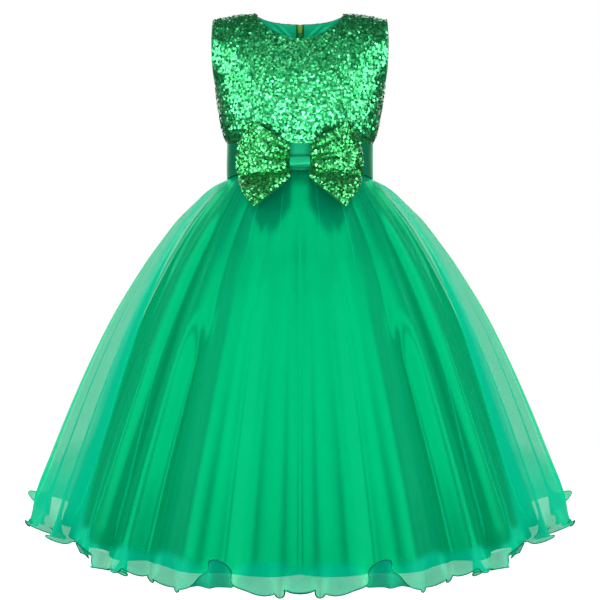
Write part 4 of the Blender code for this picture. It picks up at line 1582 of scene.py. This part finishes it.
def settle(piece: bpy.types.Object, slot: str, *nodes: str, body: str = BODY) -> bpy.types.Object:
    """Lets a piece ride on its body and stand for its nodes.

    Args:
        piece: the piece.
        slot: its slot; not used.
        nodes: the nodes that it replaces, if any.
        body: its body.

    Returns:
        The piece.
    """
    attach(piece, body)
    if nodes:
        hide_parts(*nodes)
    LOG.info("%s: %d faces", piece.name, len(piece.data.polygons))
    return piece


@dataclass
class Bodice:
    """Front and two backs of sequinned net, with a satin lining."""

    torso: Torso
    wardrobe: Wardrobe
    sequins: SequinCloth = SequinCloth()
    columns: int = 90
    rows: int = 72
    net: float = 0.0009
    lining_near: float = 0.0009
    lining_far: float = 0.0016
    lining_start: float = 0.014
    lining_creases: tuple[Crease, ...] = (
        Crease(0.036, -0.0130, 0.022, 0.0090, 0.0026, 0.0024),
        Crease(0.025, -0.0120, 0.016, 0.0110, 0.0022, 0.0018),
        Crease(0.046, -0.0230, 0.026, 0.0080, 0.0032, 0.0026),
        Crease(0.014, -0.0240, 0.010, 0.0120, 0.0024, 0.0016),
    )
    centre: float = 1e-5
    edge_clear: float = 0.0012
    edge_inset: float = 0.004
    zip_inset: float = 0.008
    sewn_rows: tuple[float, float] = (0.012, 0.965)
    slope_step: float = 1e-4
    seed: int = 11
    front_flat: tuple[float, float] = (0.34, 0.215)
    back_flat: tuple[float, float] = (0.165, 0.215)
    front_area: float = 0.0600
    back_area: float = 0.0290

    def build(self) -> None:
        """Makes the net, the sequins and the lining of each panel."""
        for word, (face, places) in self.torso.panels(self.columns, self.centre).items():
            patch = self._patch(face, places)
            net = wall_object(f"bodice_net_{word}", patch, 0.0, self.net, self.wardrobe.net)
            settle(net, "sequin_cloth", f"bodice_{word}")
            discs = self._sew(word, face, places)
        self._line()

    def _surface(self, face: Face) -> Surface:
        """The form of one face."""
        return lambda s, t: self.torso.point(s, t, face)

    def _patch(self, face: Face, places: Array) -> Patch:
        """The form of one panel, with its normals out of the dress.

        Args:
            face: the face that it belongs to.
            places: the places across it.

        Returns:
            The grid.
        """
        patch = Patch.of(self._surface(face), places, np.linspace(0.0, 1.0, self.rows))
        patch.turn_out(face_direction(patch.points, face))
        return patch

    def _sew(self, word: str, face: Face, places: Array) -> bpy.types.Object:
        """Sews the sequins of one panel.

        Args:
            word: the panel's name.
            face: the face that it belongs to.
            places: the places across it.

        Returns:
            The sequins.
        """
        seed = self.seed + len(word)
        scatter = Scatter(self._surface(face), self.sequins.spacing, seed)
        first, last = float(places[0]), float(places[-1])
        first += self.edge_inset if first < 0.0 else self.zip_inset
        last -= self.edge_inset if last > 0.0 else self.zip_inset
        frames = scatter.frames(*scatter.rows((first, last), self.sewn_rows), self.slope_step, self.net)
        edge = self.torso.sections.at("half_width", frames.points[:, 2])
        near_armhole = np.abs(frames.points[:, 0]) > edge - self.edge_clear
        kept = ~(near_armhole & (frames.points[:, 2] > self.torso.underarm + self.edge_clear))
        frames = Frames(*(part[kept] for part in frames))
        discs = self.sequins.sew(f"bodice_sequins_{word}", frames, self.wardrobe.bodice_sequins, seed)
        return settle(discs, "sequin_cloth")

    def _line(self) -> None:
        """Makes the lining, which shows inside the back neck and at the armholes."""
        for word, (face, places) in self.torso.panels(self.columns, self.lining_start).items():
            patch = self._patch(face, places)
            if face is Face.BACK:
                x, height = patch.points[..., 0], patch.points[..., 2]
                patch.points -= patch.normals * creased(self.lining_creases, x, height)[..., None]
            near, far = -self.lining_near, -self.lining_far
            lining = wall_object(f"lining_cloth_{word}", patch, far, near, self.wardrobe.lining)
            settle(lining, "lining_satin", f"lining_{word}")


def face_direction(points: Array, face: Face) -> Array:
    """A rough outward direction at points of the bodice."""
    return unit(points * LEVEL + np.array((0.0, face.value * FACE_LEAD, 0.0)))


class Wrinkle(NamedTuple):
    """One train of wrinkles across the waistband, with its turns in radians."""

    size: float
    turn_across: float
    turn_up: float
    start: float


@dataclass
class Waistband:
    """A satin front band and two backs that meet at the zip."""

    torso: Torso
    wardrobe: Wardrobe
    columns: int = 80
    rows: int = 16
    thick: float = 0.0015
    height: float = 0.050
    front_flat: tuple[float, float] = (0.300, 0.050)
    back_flat: tuple[float, float] = (0.148, 0.050)
    wrinkle: float = 0.00025
    wrinkles: tuple[Wrinkle, ...] = (Wrinkle(1.0, 210.0, 2.0, 0.0), Wrinkle(0.7, 341.0, -3.0, 1.0))
    centre: float = 1e-5

    def build(self) -> None:
        """Makes the three bands."""
        rows = np.linspace(0.0, 1.0, self.rows)
        for word, (face, places) in self.torso.panels(self.columns, self.centre).items():
            patch = Patch.of(self._surface(face), places, rows)
            patch.turn_out(face_direction(patch.points, face))
            self._wrinkle(patch)
            band = wall_object(f"band_{word}", patch, 0.0, self.thick, self.wardrobe.band)
            settle(band, "band_satin", f"waistband_{word}")

    def _surface(self, face: Face) -> Surface:
        """The form of one face."""
        return lambda s, t: self.torso.band_point(s, t, face)

    def _wrinkle(self, patch: Patch) -> None:
        """Adds soft upright wrinkles, as satin has under a bow.

        Args:
            patch: the form of one band, which is changed.
        """
        x = patch.points[..., 0]
        up = (patch.points[..., 2] - self.torso.band_bottom) / self.height
        waves = sum(
            one.size * (1.0 + np.sin(one.turn_across * x + one.turn_up * up + one.start))
            for one in self.wrinkles
        )
        fade = np.sin(np.pi * np.clip(up, 0.0, 1.0))
        patch.points += patch.normals * (self.wrinkle * waves * fade)[..., None]


class Pleat(NamedTuple):
    """A trough in a bow wing, which fades from the knot to the outer fold."""

    place: float
    width: float
    depth: float


@dataclass
class Bow:
    """Two looped wings of sequinned net, pinched by a satin knot."""

    torso: Torso
    skirt: SkirtForm
    wardrobe: Wardrobe
    sequins: SequinCloth = SequinCloth(radius=0.0018, spacing=0.0024, tilt=0.22)
    knot_z: float = -0.2340
    knot_half_width: float = 0.01425
    knot_half_height: float = 0.0090
    knot_half_depth: float = 0.0100
    knot_wall: float = 0.0018
    knot_power: float = 3.0
    knot_columns: int = 15
    knot_turns: int = 97
    knot_belly: float = 0.0003
    knot_skin: float = 0.0003
    groove: float = 0.00035
    grooves: float = 6.0
    groove_lean: float = 1.5
    knot_cloth: tuple[float, float] = (0.014, 0.009)
    knot_flat: tuple[float, float] = (0.0285, 0.075)
    band: float = 0.0015
    root: float = 0.0012
    reach: float = 0.0910
    top_angle: float = 41.0
    low_angle: float = -47.0
    clear: float = 0.0013
    burst: float = 0.0040
    puff: float = 0.0170
    plump: float = 0.0125
    root_depth: float = 0.0036
    root_height: float = 0.0056
    fold_power: float = 5.0
    edge_fall: float = 0.35
    stand: float = 0.0125
    wrap: float = 0.0180
    last_row: float = 0.98
    wing_rows: int = 40
    wing_columns: int = 49
    sewn_across: tuple[float, float] = (-0.985, 0.985)
    sewn_along: tuple[tuple[float, float], ...] = ((0.16, 0.995), (1.84, 1.005))
    slope_step: float = 1e-3
    left_seed: int = 31
    right_seed: int = 37
    cloth: float = 0.0015
    flat: tuple[float, float] = (0.190, 0.125)
    flat_area: float = 0.0190
    pleats: tuple[Pleat, ...] = (
        Pleat(0.24, 0.16, 0.0090),
        Pleat(-0.42, 0.15, 0.0080),
        Pleat(0.74, 0.12, 0.0040),
    )

    @property
    def knot_y(self) -> float:
        """How far in front of the axis the knot's middle lies."""
        middle = self.torso.band_point(np.array(0.0), np.array(0.5), Face.FRONT)
        return float(-middle[1]) + self.band + self.torso.seam + self.knot_half_depth

    def _front(self, x: Array, z: Array) -> Array:
        """The front of the dress behind the bow.

        Args:
            x: places of the bow, across.
            z: their heights.

        Returns:
            How far forward the dress reaches there.
        """
        rows, torso = self.skirt.sections, self.torso
        wide = np.clip(np.abs(x) / rows.at("half_width", z), 0.0, 1.0)
        skirt = rows.at("half_depth", z) * np.sqrt(1.0 - wide**2)
        wide = np.clip(np.abs(x) / torso.sections.at("half_width", z), 0.0, 1.0)
        body = torso.sections.at("front_depth", z)
        body = body * (1.0 - wide**torso.power) ** (1.0 / torso.power)
        return np.where(z > torso.band_bottom, body, skirt)

    def wing_point(self, across: Array, place: Array, side: Side) -> Array:
        """Points of a wing's loop.

        Args:
            across: from -1 at the lower edge to 1 at the upper.
            place: from 0 at the root, round the outer fold at 1, to 2 at the root again.
            side: the wing's side.

        Returns:
            The points.
        """
        front = place <= 1.0
        out = self.last_row * np.where(front, place, 2.0 - place)
        reach = self.root + (self.reach - self.root) * out
        middle, half = (self.top_angle + self.low_angle) / 2, (self.top_angle - self.low_angle) / 2
        angle = np.radians(middle + half * across)
        freed = smooth((reach - self.knot_half_width - self.clear) / self.burst)
        x = reach * (1.0 + (np.cos(angle) - 1.0) * freed)
        rise = np.sin(angle) * (reach + self.puff * (1.0 - reach / self.reach))
        z = self.knot_z + self.root_height * across * (1.0 - freed) + rise * freed
        flat = self.knot_y - self.root_depth - self.wrap * (x / self.reach) ** 2
        back = np.maximum(flat, self._front(x, z) + self.stand)
        loop = np.sqrt(1.0 - out**self.fold_power)
        half_deep = self.root_depth + (self.plump - self.root_depth) * freed
        depth = 2.0 * half_deep * loop * (1.0 - self.edge_fall * across**4 * freed)
        for pleat in self.pleats:
            trough = np.exp(-(((across - pleat.place) / pleat.width) ** 2))
            depth = depth - pleat.depth * trough * freed * loop * (1.0 - out)
        rear = (self.knot_y - self.root_depth) * (1.0 - freed) + back * freed
        y = rear + np.where(front, depth, 0.0)
        return stacked(side.value * x, -y, z)

    def build(self) -> None:
        """Makes the wings and the knot."""
        turn = 1.0 - (1.0 - np.linspace(0.0, 1.0, self.wing_rows)) ** 2
        places = np.concatenate([turn, 2.0 - turn[::-1][1:]])
        across = np.linspace(-1.0, 1.0, self.wing_columns)
        half = self.cloth / 2
        for side in Side:
            patch = Patch.of(self._surface(side), across, places)
            patch.turn_out(patch.points - patch.points.mean(axis=(0, 1)))
            net = wall_object(f"bow_net_{side.word}", patch, -half, half, self.wardrobe.net)
            settle(net, "sequin_cloth", f"bow_wing_{side.word}")
            discs = self._sew(side)
        self._tie()

    def _surface(self, side: Side) -> Surface:
        """The form of one wing."""
        return lambda s, t: self.wing_point(s, t, side)

    def _sew(self, side: Side) -> bpy.types.Object:
        """Sews sequins to the front and the rear of one wing.

        Args:
            side: the wing's side.

        Returns:
            The sequins.
        """
        seed = self.left_seed if side is Side.LEFT else self.right_seed
        scatter = Scatter(self._surface(side), self.sequins.spacing, seed)
        found = [scatter.rows(self.sewn_across, ends) for ends in self.sewn_along]
        s = np.concatenate([part[0] for part in found])
        t = np.concatenate([part[1] for part in found])
        frames = scatter.frames(s, t, self.slope_step, self.cloth / 2)
        name = f"bow_sequins_{side.word}"
        return settle(self.sequins.sew(name, frames, self.wardrobe.bow_sequins, seed), "sequin_cloth")

    def _knot_ring(self, s: Array, turn: Array, shrink: float) -> Array:
        """Points on the knot.

        Args:
            s: from -1 at one end of it to 1 at the other.
            turn: the angle round it.
            shrink: how far the points are drawn in from its outside.

        Returns:
            The points.
        """
        power = 2.0 / self.knot_power
        cosine, sine = np.cos(turn), np.sin(turn)
        belly = self.knot_belly * (1.0 - 2.0 * s**2)
        groove = self.groove * np.sin(self.grooves * turn + self.groove_lean * s) * (1.0 - s**4)
        y = np.sign(cosine) * np.abs(cosine) ** power * (self.knot_half_depth - shrink + groove)
        z = np.sign(sine) * np.abs(sine) ** power * (self.knot_half_height - shrink + belly)
        return stacked(s * self.knot_half_width, y - self.knot_y, z + self.knot_z)

    def _tie(self) -> None:
        """Makes the satin knot, a tube round the wings with soft wrinkles along it."""
        across = np.linspace(-1.0, 1.0, self.knot_columns)
        s, turn = np.meshgrid(across, np.linspace(0.0, 2 * np.pi, self.knot_turns))
        outside = self._knot_ring(s, turn, self.knot_skin)
        inside = self._knot_ring(s, turn, self.knot_wall)
        cloth = np.stack([s, turn], axis=-1) * self.knot_cloth
        patch = Patch(inside, unit(outside - inside), cloth)
        wall = float(np.linalg.norm(outside - inside, axis=-1).mean())
        knot = wall_object("bow_knot_cloth", patch, 0.0, wall, self.wardrobe.band)
        settle(knot, "band_satin", "bow_knot")


@dataclass
class Skirts:
    """The satin underskirt, and the organza overskirt with its rolled hem."""

    under: SkirtForm
    over: OverskirtForm
    wardrobe: Wardrobe
    under_steps: int = 20
    over_steps: int = 46
    tuck_steps: int = 13
    under_rows: int = 90
    over_rows: int = 84
    ruffle_rows: int = 26
    half_satin: float = 0.0005
    hem_radius: float = 0.0008
    hem_sides: int = 6
    row_ease: float = 1.15
    gathered: float = 1.5
    seam: float = 0.0004

    def build(self) -> None:
        """Makes both skirts."""
        self._hang_satin()
        self._hang_organza()

    def _rows(self, top: float, low: float, count: int) -> Array:
        """Heights from one to another, closer together at the upper end."""
        return top + (low - top) * np.linspace(0.0, 1.0, count) ** self.row_ease

    def _hang_satin(self) -> None:
        """Makes the panels of the underskirt."""
        heights = self._rows(self.under.top, self.under.hem, self.under_rows)
        for word, (start, end) in self._spans(self.under).items():
            places = np.linspace(start, end, int(round((end - start) * self.under_steps)) + 1)
            patch = Patch.of(self.under.point, places, heights)
            patch.points += unit(patch.points * LEVEL) * self.half_satin
            satin = sheet_object(f"satin_{word}", patch, self.wardrobe.skirt)
            settle(satin, "skirt_satin", f"underskirt_{word}")
            self._declare(satin, patch)

    def _hang_organza(self) -> None:
        """Makes the panels of the overskirt, with the thread of their rolled hem."""
        over = self.over
        body = self._rows(over.top, over.ruffle_top, self.over_rows)
        curl = np.linspace(over.ruffle_top, over.hem, self.ruffle_rows + 1)[1:]
        heights = np.concatenate([body, curl])
        for word, (start, end) in self._spans(over).items():
            places = over.columns(start, end, self.over_steps, self.tuck_steps)
            patch = Patch.of(over.point, places, heights)
            cloth = sheet_object(f"organza_{word}", patch, self.wardrobe.organza)
            give_values(cloth, "cover", over.cover(patch.points, heights[:, None], self.under))
            cloth.visible_shadow = False
            settle(cloth, "organza", f"overskirt_{word}")
            name, thread = f"rolled_hem_{word}", self.wardrobe.hem_thread
            hem = tube_object(name, patch.points[-1], self.hem_radius, self.hem_sides, thread)
            settle(hem, "organza")
            self._declare(cloth, patch)

    def _spans(self, form: SkirtForm) -> dict[str, tuple[float, float]]:
        """The reach of the front and the two backs.

        Args:
            form: the skirt's form.

        Returns:
            The first and the last place across each, by its name.
        """
        count, front = form.counts
        return {
            "front": (-front + self.seam, front - self.seam),
            "back_left": (-count + self.seam, -front - self.seam),
            "back_right": (front + self.seam, count - self.seam),
        }

    def _declare(self, cloth: bpy.types.Object, patch: Patch) -> None:
        """Logs the waist, hem and length of a panel's cut: a flared piece, wide at the hem and gathered at
        the waist.

        Args:
            cloth: the panel.
            patch: its form.
        """
        hem = float(arc_length(patch.points[-1], axis=0)[-1])
        waist = float(arc_length(patch.points[0], axis=0)[-1])
        length = float(arc_length(patch.points, axis=0)[-1].mean())
        LOG.info("%s: waist %.3f, hem %.3f, length %.3f", cloth.name, waist, hem, length)
        area = length * (hem + self.gathered * waist) / 2


@dataclass
class Zip:
    """The centre-back zip: a coil on its tape, and the slider with its pull tab."""

    torso: Torso
    under: SkirtForm
    wardrobe: Wardrobe
    half_width: float = 0.0036
    top: float = -0.0150
    low: float = -0.3000
    pitch: float = 0.0013
    tape_cut: float = 0.0105
    tape_rows: int = 120
    tape: float = 0.0005
    bends: int = 7
    loop_half: float = 0.001045
    loop_cross: float = 0.0002
    loop_rise: float = 0.0007
    loop_skew: float = 0.00022
    wire: float = 0.00028
    pinch: float = 0.5

    def path_y(self, height: Array) -> Array:
        """The centre back, from the waist seam of the skirt to the neck.

        Args:
            height: heights on it.

        Returns:
            How far back its inside lies at each.
        """
        bodice = self.torso.back_y(height)
        count = float(self.under.counts[0])
        skirt = self.under.point(np.full_like(height, count), height)[..., 1]
        low = self.torso.band_top - self.torso.band_lap
        band = self.torso.back_y(np.full_like(height, low))
        return np.where(height >= low, bodice, np.where(height >= self.under.top, band, skirt))

    def build(self) -> None:
        """Makes the coil, and finishes the slider and the pull tab."""
        for side in Side:
            self._sew(side)
        for name, body in (("zip_slider", BODY), ("zip_pull", PULL_BODY)):
            node = frame["nodes"][name]
            node.data.materials.clear()
            node.data.materials.append(self.wardrobe.zip_metal)
            LOG.info("%s rides on %s", name, body)

    def _sew(self, side: Side) -> None:
        """Makes one half of the closed zip: its tape and its coil.

        Args:
            side: the half.
        """
        seam = self.torso.seam
        across = np.sort(np.array((seam, self.half_width)) * side.value)
        s, t = np.meshgrid(across, np.linspace(self.low, self.top, self.tape_rows))
        points = stacked(s, self.path_y(t) - seam, t)
        inward = unit(np.cross(np.gradient(points, axis=0), np.array((1.0, 0.0, 0.0))))
        inward = inward * np.where(inward[..., 1:2] > 0, -1.0, 1.0)
        patch = Patch(points, inward, np.stack([s, t], axis=-1))
        tape = wall_object(f"zip_tape_{side.word}", patch, 0.0, self.tape, self.wardrobe.tape)
        settle(tape, "zip_coil", f"zip_chain_{side.word}")
        coil = self._coil(side)
        flat = (self.tape_cut, self.top - self.low)
        area = (self.half_width - seam) * flat[1]

    def _coil(self, side: Side) -> bpy.types.Object:
        """Makes a row of coil loops, each a small arch that locks past the centre line.

        Args:
            side: the half of the zip.

        Returns:
            The coil.
        """
        turn = np.linspace(0.0, np.pi, self.bends)
        offset = 0.0 if side is Side.LEFT else self.pitch / 2
        centre = np.arange(self.low, self.top, self.pitch) + offset
        reach = side.value * (self.loop_half * (1.0 - np.cos(turn)) - self.loop_cross)
        y = (self.path_y(centre) - self.torso.seam - self.tape)[:, None] - self.loop_rise * np.sin(turn)
        path = stacked(reach, y, centre[:, None] + self.loop_skew * np.cos(2 * turn))
        corner = np.array(((0.0, -1.0, -1.0), (0.0, 1.0, -1.0), (0.0, 1.0, 1.0), (0.0, -1.0, 1.0)))
        lean = -self.pinch * corner[:, 1:2] * np.array((side.value, 0.0, 0.0))
        points = (path[:, :, None] + (corner + lean) * self.wire).reshape(-1, 3)
        faces = (self._loop_faces(len(corner))[None] + self._starts(len(centre), len(corner))).reshape(-1, 4)
        coil = new_object(f"zip_coil_{side.word}", points, faces, points[:, [0, 2]], self.wardrobe.coil)
        return settle(coil, "zip_coil")

    def _starts(self, loops: int, corners: int) -> Array:
        """The index of each loop's first point."""
        return (np.arange(loops) * self.bends * corners)[:, None, None]

    def _loop_faces(self, corners: int) -> Array:
        """The faces of one loop: its sides from bend to bend, and its two ends.

        Args:
            corners: how many corners the loop's section has.

        Returns:
            The indices of each quad's points.
        """
        bend, corner = np.divmod(np.arange((self.bends - 1) * corners), corners)
        near = bend * corners + corner
        far = bend * corners + (corner + 1) % corners
        sides = np.stack([near, far, far + corners, near + corners], axis=1)
        first = np.arange(corners)
        return np.concatenate([sides, [first[::-1], first + (self.bends - 1) * corners]])


class Softbox(NamedTuple):
    """A soft light that faces the middle of the dress."""

    name: str
    turn: float
    climb: float
    distance: float
    width: float
    height: float
    radiance: float
    lit: Lit = Lit.ALL

    def mirrored(self) -> tuple["Softbox", "Softbox"]:
        """The same light on the left and on the right."""
        left = self._replace(name=f"{self.name}_left", turn=-self.turn)
        return left, self._replace(name=f"{self.name}_right")


@dataclass
class Studio:
    """The camera, the pale floor and the soft lights."""

    camera_place: Triple = (0.0, -1.5, -0.4275)
    lens: float = 60.0
    sensor: float = 36.0
    nearest: float = 0.01
    sheer_layers: int = 24
    floor: float = -1.05
    floor_radius: float = 3.0
    floor_columns: int = 97
    floor_rings: int = 9
    aim: Triple = (0.0, 0.0, -0.35)
    sky: float = 0.06
    softboxes: tuple[Softbox, ...] = (
        Softbox("top", 0.0, 35.0, 2.2, 1.7, 2.2, 1.9, Lit.SATIN),
        Softbox("crown", 0.0, 76.0, 2.2, 2.4, 0.8, 1.9, Lit.SATIN),
        Softbox("veil", 0.0, 38.0, 2.2, 1.7, 1.9, 1.3, Lit.SHEER),
        *Softbox("key", 52.0, 27.0, 2.3, 1.2, 2.2, 1.85, Lit.SATIN).mirrored(),
        *Softbox("wing", 100.0, 20.0, 2.3, 1.5, 1.9, 0.7, Lit.SATIN).mirrored(),
        *Softbox("side", 88.0, 12.0, 2.3, 1.0, 2.0, 5.1, Lit.SHEER).mirrored(),
        *Softbox("front", 66.0, 13.0, 2.3, 1.7, 1.4, 5.6, Lit.SEQUINS).mirrored(),
        Softbox("high_front", 0.0, 50.0, 2.2, 0.5, 0.5, 6.0, Lit.UPPER),
        Softbox("low_front", 0.0, -13.0, 2.2, 1.6, 0.8, 12.0, Lit.UPPER),
        Softbox("fill", 0.0, 20.0, 2.6, 1.4, 0.8, 1.0, Lit.UPPER),
        *Softbox("back", 155.0, 30.0, 2.4, 1.1, 2.0, 2.6).mirrored(),
    )

    def build(self) -> None:
        """Makes the camera first, then the floor, the lights and the sky."""
        scene = bpy.context.scene
        data = bpy.data.cameras.new("camera")
        data.lens = self.lens
        data.sensor_width = self.sensor
        data.clip_start = self.nearest
        camera = bpy.data.objects.new("camera", data)
        camera.location = self.camera_place
        camera.rotation_euler = (math.pi / 2, 0.0, 0.0)
        scene.collection.objects.link(camera)
        scene.camera = camera
        scene.view_settings.view_transform = "Standard"
        scene.cycles.transparent_max_bounces = self.sheer_layers
        self._floor()
        for softbox in self.softboxes:
            self._light(softbox)
        self._sky()

    def share(self) -> None:
        """Lets each softbox light only its own pieces."""
        for lit in Lit:
            if lit is Lit.ALL:
                continue
            pieces = bpy.data.collections.new(f"lit_{lit.name.lower()}")
            for piece in bpy.context.scene.objects:
                if piece.type == "MESH" and piece.name.startswith(lit.value):
                    pieces.objects.link(piece)
            for softbox in self.softboxes:
                if softbox.lit is lit:
                    light = bpy.data.objects[softbox.name]
                    light.light_linking.receiver_collection = pieces

    def _floor(self) -> None:
        """A round floor of seamless paper, which fades into the white around it."""
        turns = np.linspace(0.0, 2 * math.pi, self.floor_columns)
        turn, radius = np.meshgrid(turns, np.linspace(0.0, self.floor_radius, self.floor_rings))
        points = stacked(radius * np.cos(turn), radius * np.sin(turn), np.array(self.floor))
        cloth = np.stack([radius / self.floor_radius, turn], axis=-1)
        floor = new_object("floor", points, grid_faces(*radius.shape), cloth, Paper().make())
        floor.visible_diffuse = False
        floor.visible_glossy = False

    def _light(self, box: Softbox) -> None:
        """Adds one softbox.

        Args:
            box: its place, size and strength.
        """
        turn, climb = math.radians(box.turn), math.radians(box.climb)
        level = math.cos(climb)
        way = Vector((level * math.sin(turn), -level * math.cos(turn), math.sin(climb)))
        data = bpy.data.lights.new(box.name, "AREA")
        data.shape = "RECTANGLE"
        data.size = box.width
        data.size_y = box.height
        data.energy = box.radiance * math.pi * box.width * box.height
        made = bpy.data.objects.new(box.name, data)
        made.location = Vector(self.aim) + way * box.distance
        made.rotation_euler = (-way).to_track_quat("-Z", "Y").to_euler()
        bpy.context.scene.collection.objects.link(made)

    def _sky(self) -> None:
        """White to look at, and dim for what it lights."""
        world = bpy.data.worlds.new("sky")
        graph = Graph(world, "Background", {"Strength": 1.0})
        seen = graph.node("ShaderNodeLightPath", {}, {}, "Is Camera Ray")
        dim = (self.sky, self.sky, self.sky)
        graph.link("Color", graph.mix(seen, dim, (1.0, 1.0, 1.0)))
        bpy.context.scene.world = world


OVERSKIRT_SECTIONS = (
    SkirtSection(-0.2480, 0.1095, 0.0860),
    SkirtSection(-0.2500, 0.1099, 0.0864),
    SkirtSection(-0.2560, 0.1215, 0.0945),
    SkirtSection(-0.2670, 0.1370, 0.1060),
    SkirtSection(-0.2860, 0.1555, 0.1230),
    SkirtSection(-0.3100, 0.1765, 0.1440),
    SkirtSection(-0.3400, 0.1980, 0.1690),
    SkirtSection(-0.3750, 0.2215, 0.1940),
    SkirtSection(-0.4450, 0.2615, 0.2390),
    SkirtSection(-0.5140, 0.2935, 0.2800),
    SkirtSection(-0.5810, 0.3205, 0.3160),
    SkirtSection(-0.6480, 0.3450, 0.3490),
    SkirtSection(-0.7050, 0.3655, 0.3740),
    SkirtSection(-0.7565, 0.3785, 0.3920),
)
OVERSKIRT_FRONT_FOLDS = (
    Fold(7.5, 0.016, 0.3),
    Fold(19.0, 0.021, -0.5),
    Fold(30.0, 0.013, 0.7),
    Fold(38.0, 0.017, 0.5),
    Fold(51.5, -0.026, 0.0),
    Fold(66.0, -0.018, 0.0),
    Fold(81.0, 0.018, -0.3),
)
OVERSKIRT_BACK_FOLDS = (
    Fold(100.0, 0.024, 0.4),
    Fold(117.0, 0.018, -0.5),
    Fold(133.5, 0.024, 0.6),
    Fold(151.0, 0.019, -0.4),
    Fold(169.5, 0.018, 0.3),
)
UNDERSKIRT_SECTIONS = (
    SkirtSection(-0.2480, 0.1075, 0.0835),
    SkirtSection(-0.2500, 0.1077, 0.0837),
    SkirtSection(-0.2560, 0.1115, 0.0870),
    SkirtSection(-0.2670, 0.1200, 0.0940),
    SkirtSection(-0.2860, 0.1350, 0.1065),
    SkirtSection(-0.3100, 0.1530, 0.1230),
    SkirtSection(-0.3400, 0.1720, 0.1420),
    SkirtSection(-0.3750, 0.1910, 0.1640),
    SkirtSection(-0.4450, 0.2240, 0.2040),
    SkirtSection(-0.5140, 0.2520, 0.2400),
    SkirtSection(-0.5810, 0.2770, 0.2720),
    SkirtSection(-0.6480, 0.3020, 0.3010),
    SkirtSection(-0.7480, 0.3370, 0.3370),
)
UNDERSKIRT_FRONT_FOLDS = (
    Fold(8.5, 0.0090, 0.1),
    Fold(22.5, 0.0130, 0.0),
    Fold(39.5, 0.0130, 0.0),
    Fold(54.0, 0.0090, 0.0),
    Fold(66.0, 0.0075, 0.0),
    Fold(80.0, 0.0120, 0.0),
)
UNDERSKIRT_RIDGES = (
    Ridge(0.0, 2.2, -0.0040, 0.10, 1.2),
    Ridge(4.5, 2.4, 0.0010, 0.10, 1.2),
    Ridge(12.0, 2.2, -0.0020, 0.30, 1.2),
    Ridge(18.0, 2.2, 0.0016, 0.10, 1.2),
    Ridge(28.0, 2.6, -0.0050, 0.30, 1.2),
    Ridge(35.0, 2.8, -0.0160, 0.38, 1.2),
    Ridge(50.0, 3.6, -0.0100, 0.05, 1.2),
    Ridge(60.0, 4.0, 0.0048, 0.15, 1.2),
    Ridge(72.0, 4.0, -0.0080, 0.25, 1.2),
    Ridge(95.0, 4.0, -0.0080, 0.20, 1.2),
    Ridge(112.0, 4.0, -0.0112, 0.30, 1.2),
    Ridge(128.0, 3.5, 0.0048, 0.15, 1.2),
    Ridge(136.0, 3.5, -0.0096, 0.35, 1.2),
    Ridge(155.0, 4.0, -0.0096, 0.12, 1.2),
    Ridge(172.0, 3.5, -0.0064, 0.30, 1.2),
)
UNDERSKIRT_BACK_FOLDS = (
    Fold(100.5, 0.0128, 0.0),
    Fold(121.5, 0.0135, 0.0),
    Fold(143.5, 0.0128, 0.0),
    Fold(167.5, 0.0112, 0.0),
)


def main() -> None:
    """Builds the studio and the dress."""
    logging.basicConfig(level=logging.INFO, format="%(message)s")
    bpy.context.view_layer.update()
    studio = Studio()
    studio.build()
    wardrobe = Wardrobe()
    torso = Torso()
    under = SkirtForm(
        torso,
        Profile(UNDERSKIRT_SECTIONS),
        UNDERSKIRT_FRONT_FOLDS,
        UNDERSKIRT_BACK_FOLDS,
        roundness=0.5,
        ridges=UNDERSKIRT_RIDGES,
    )
    over = OverskirtForm(
        torso, Profile(OVERSKIRT_SECTIONS), OVERSKIRT_FRONT_FOLDS, OVERSKIRT_BACK_FOLDS
    )
    Bodice(torso, wardrobe).build()
    Waistband(torso, wardrobe).build()
    Bow(torso, over, wardrobe).build()
    Skirts(under, over, wardrobe).build()
    Zip(torso, under, wardrobe).build()
    studio.share()


if __name__ == "__main__":
    main()
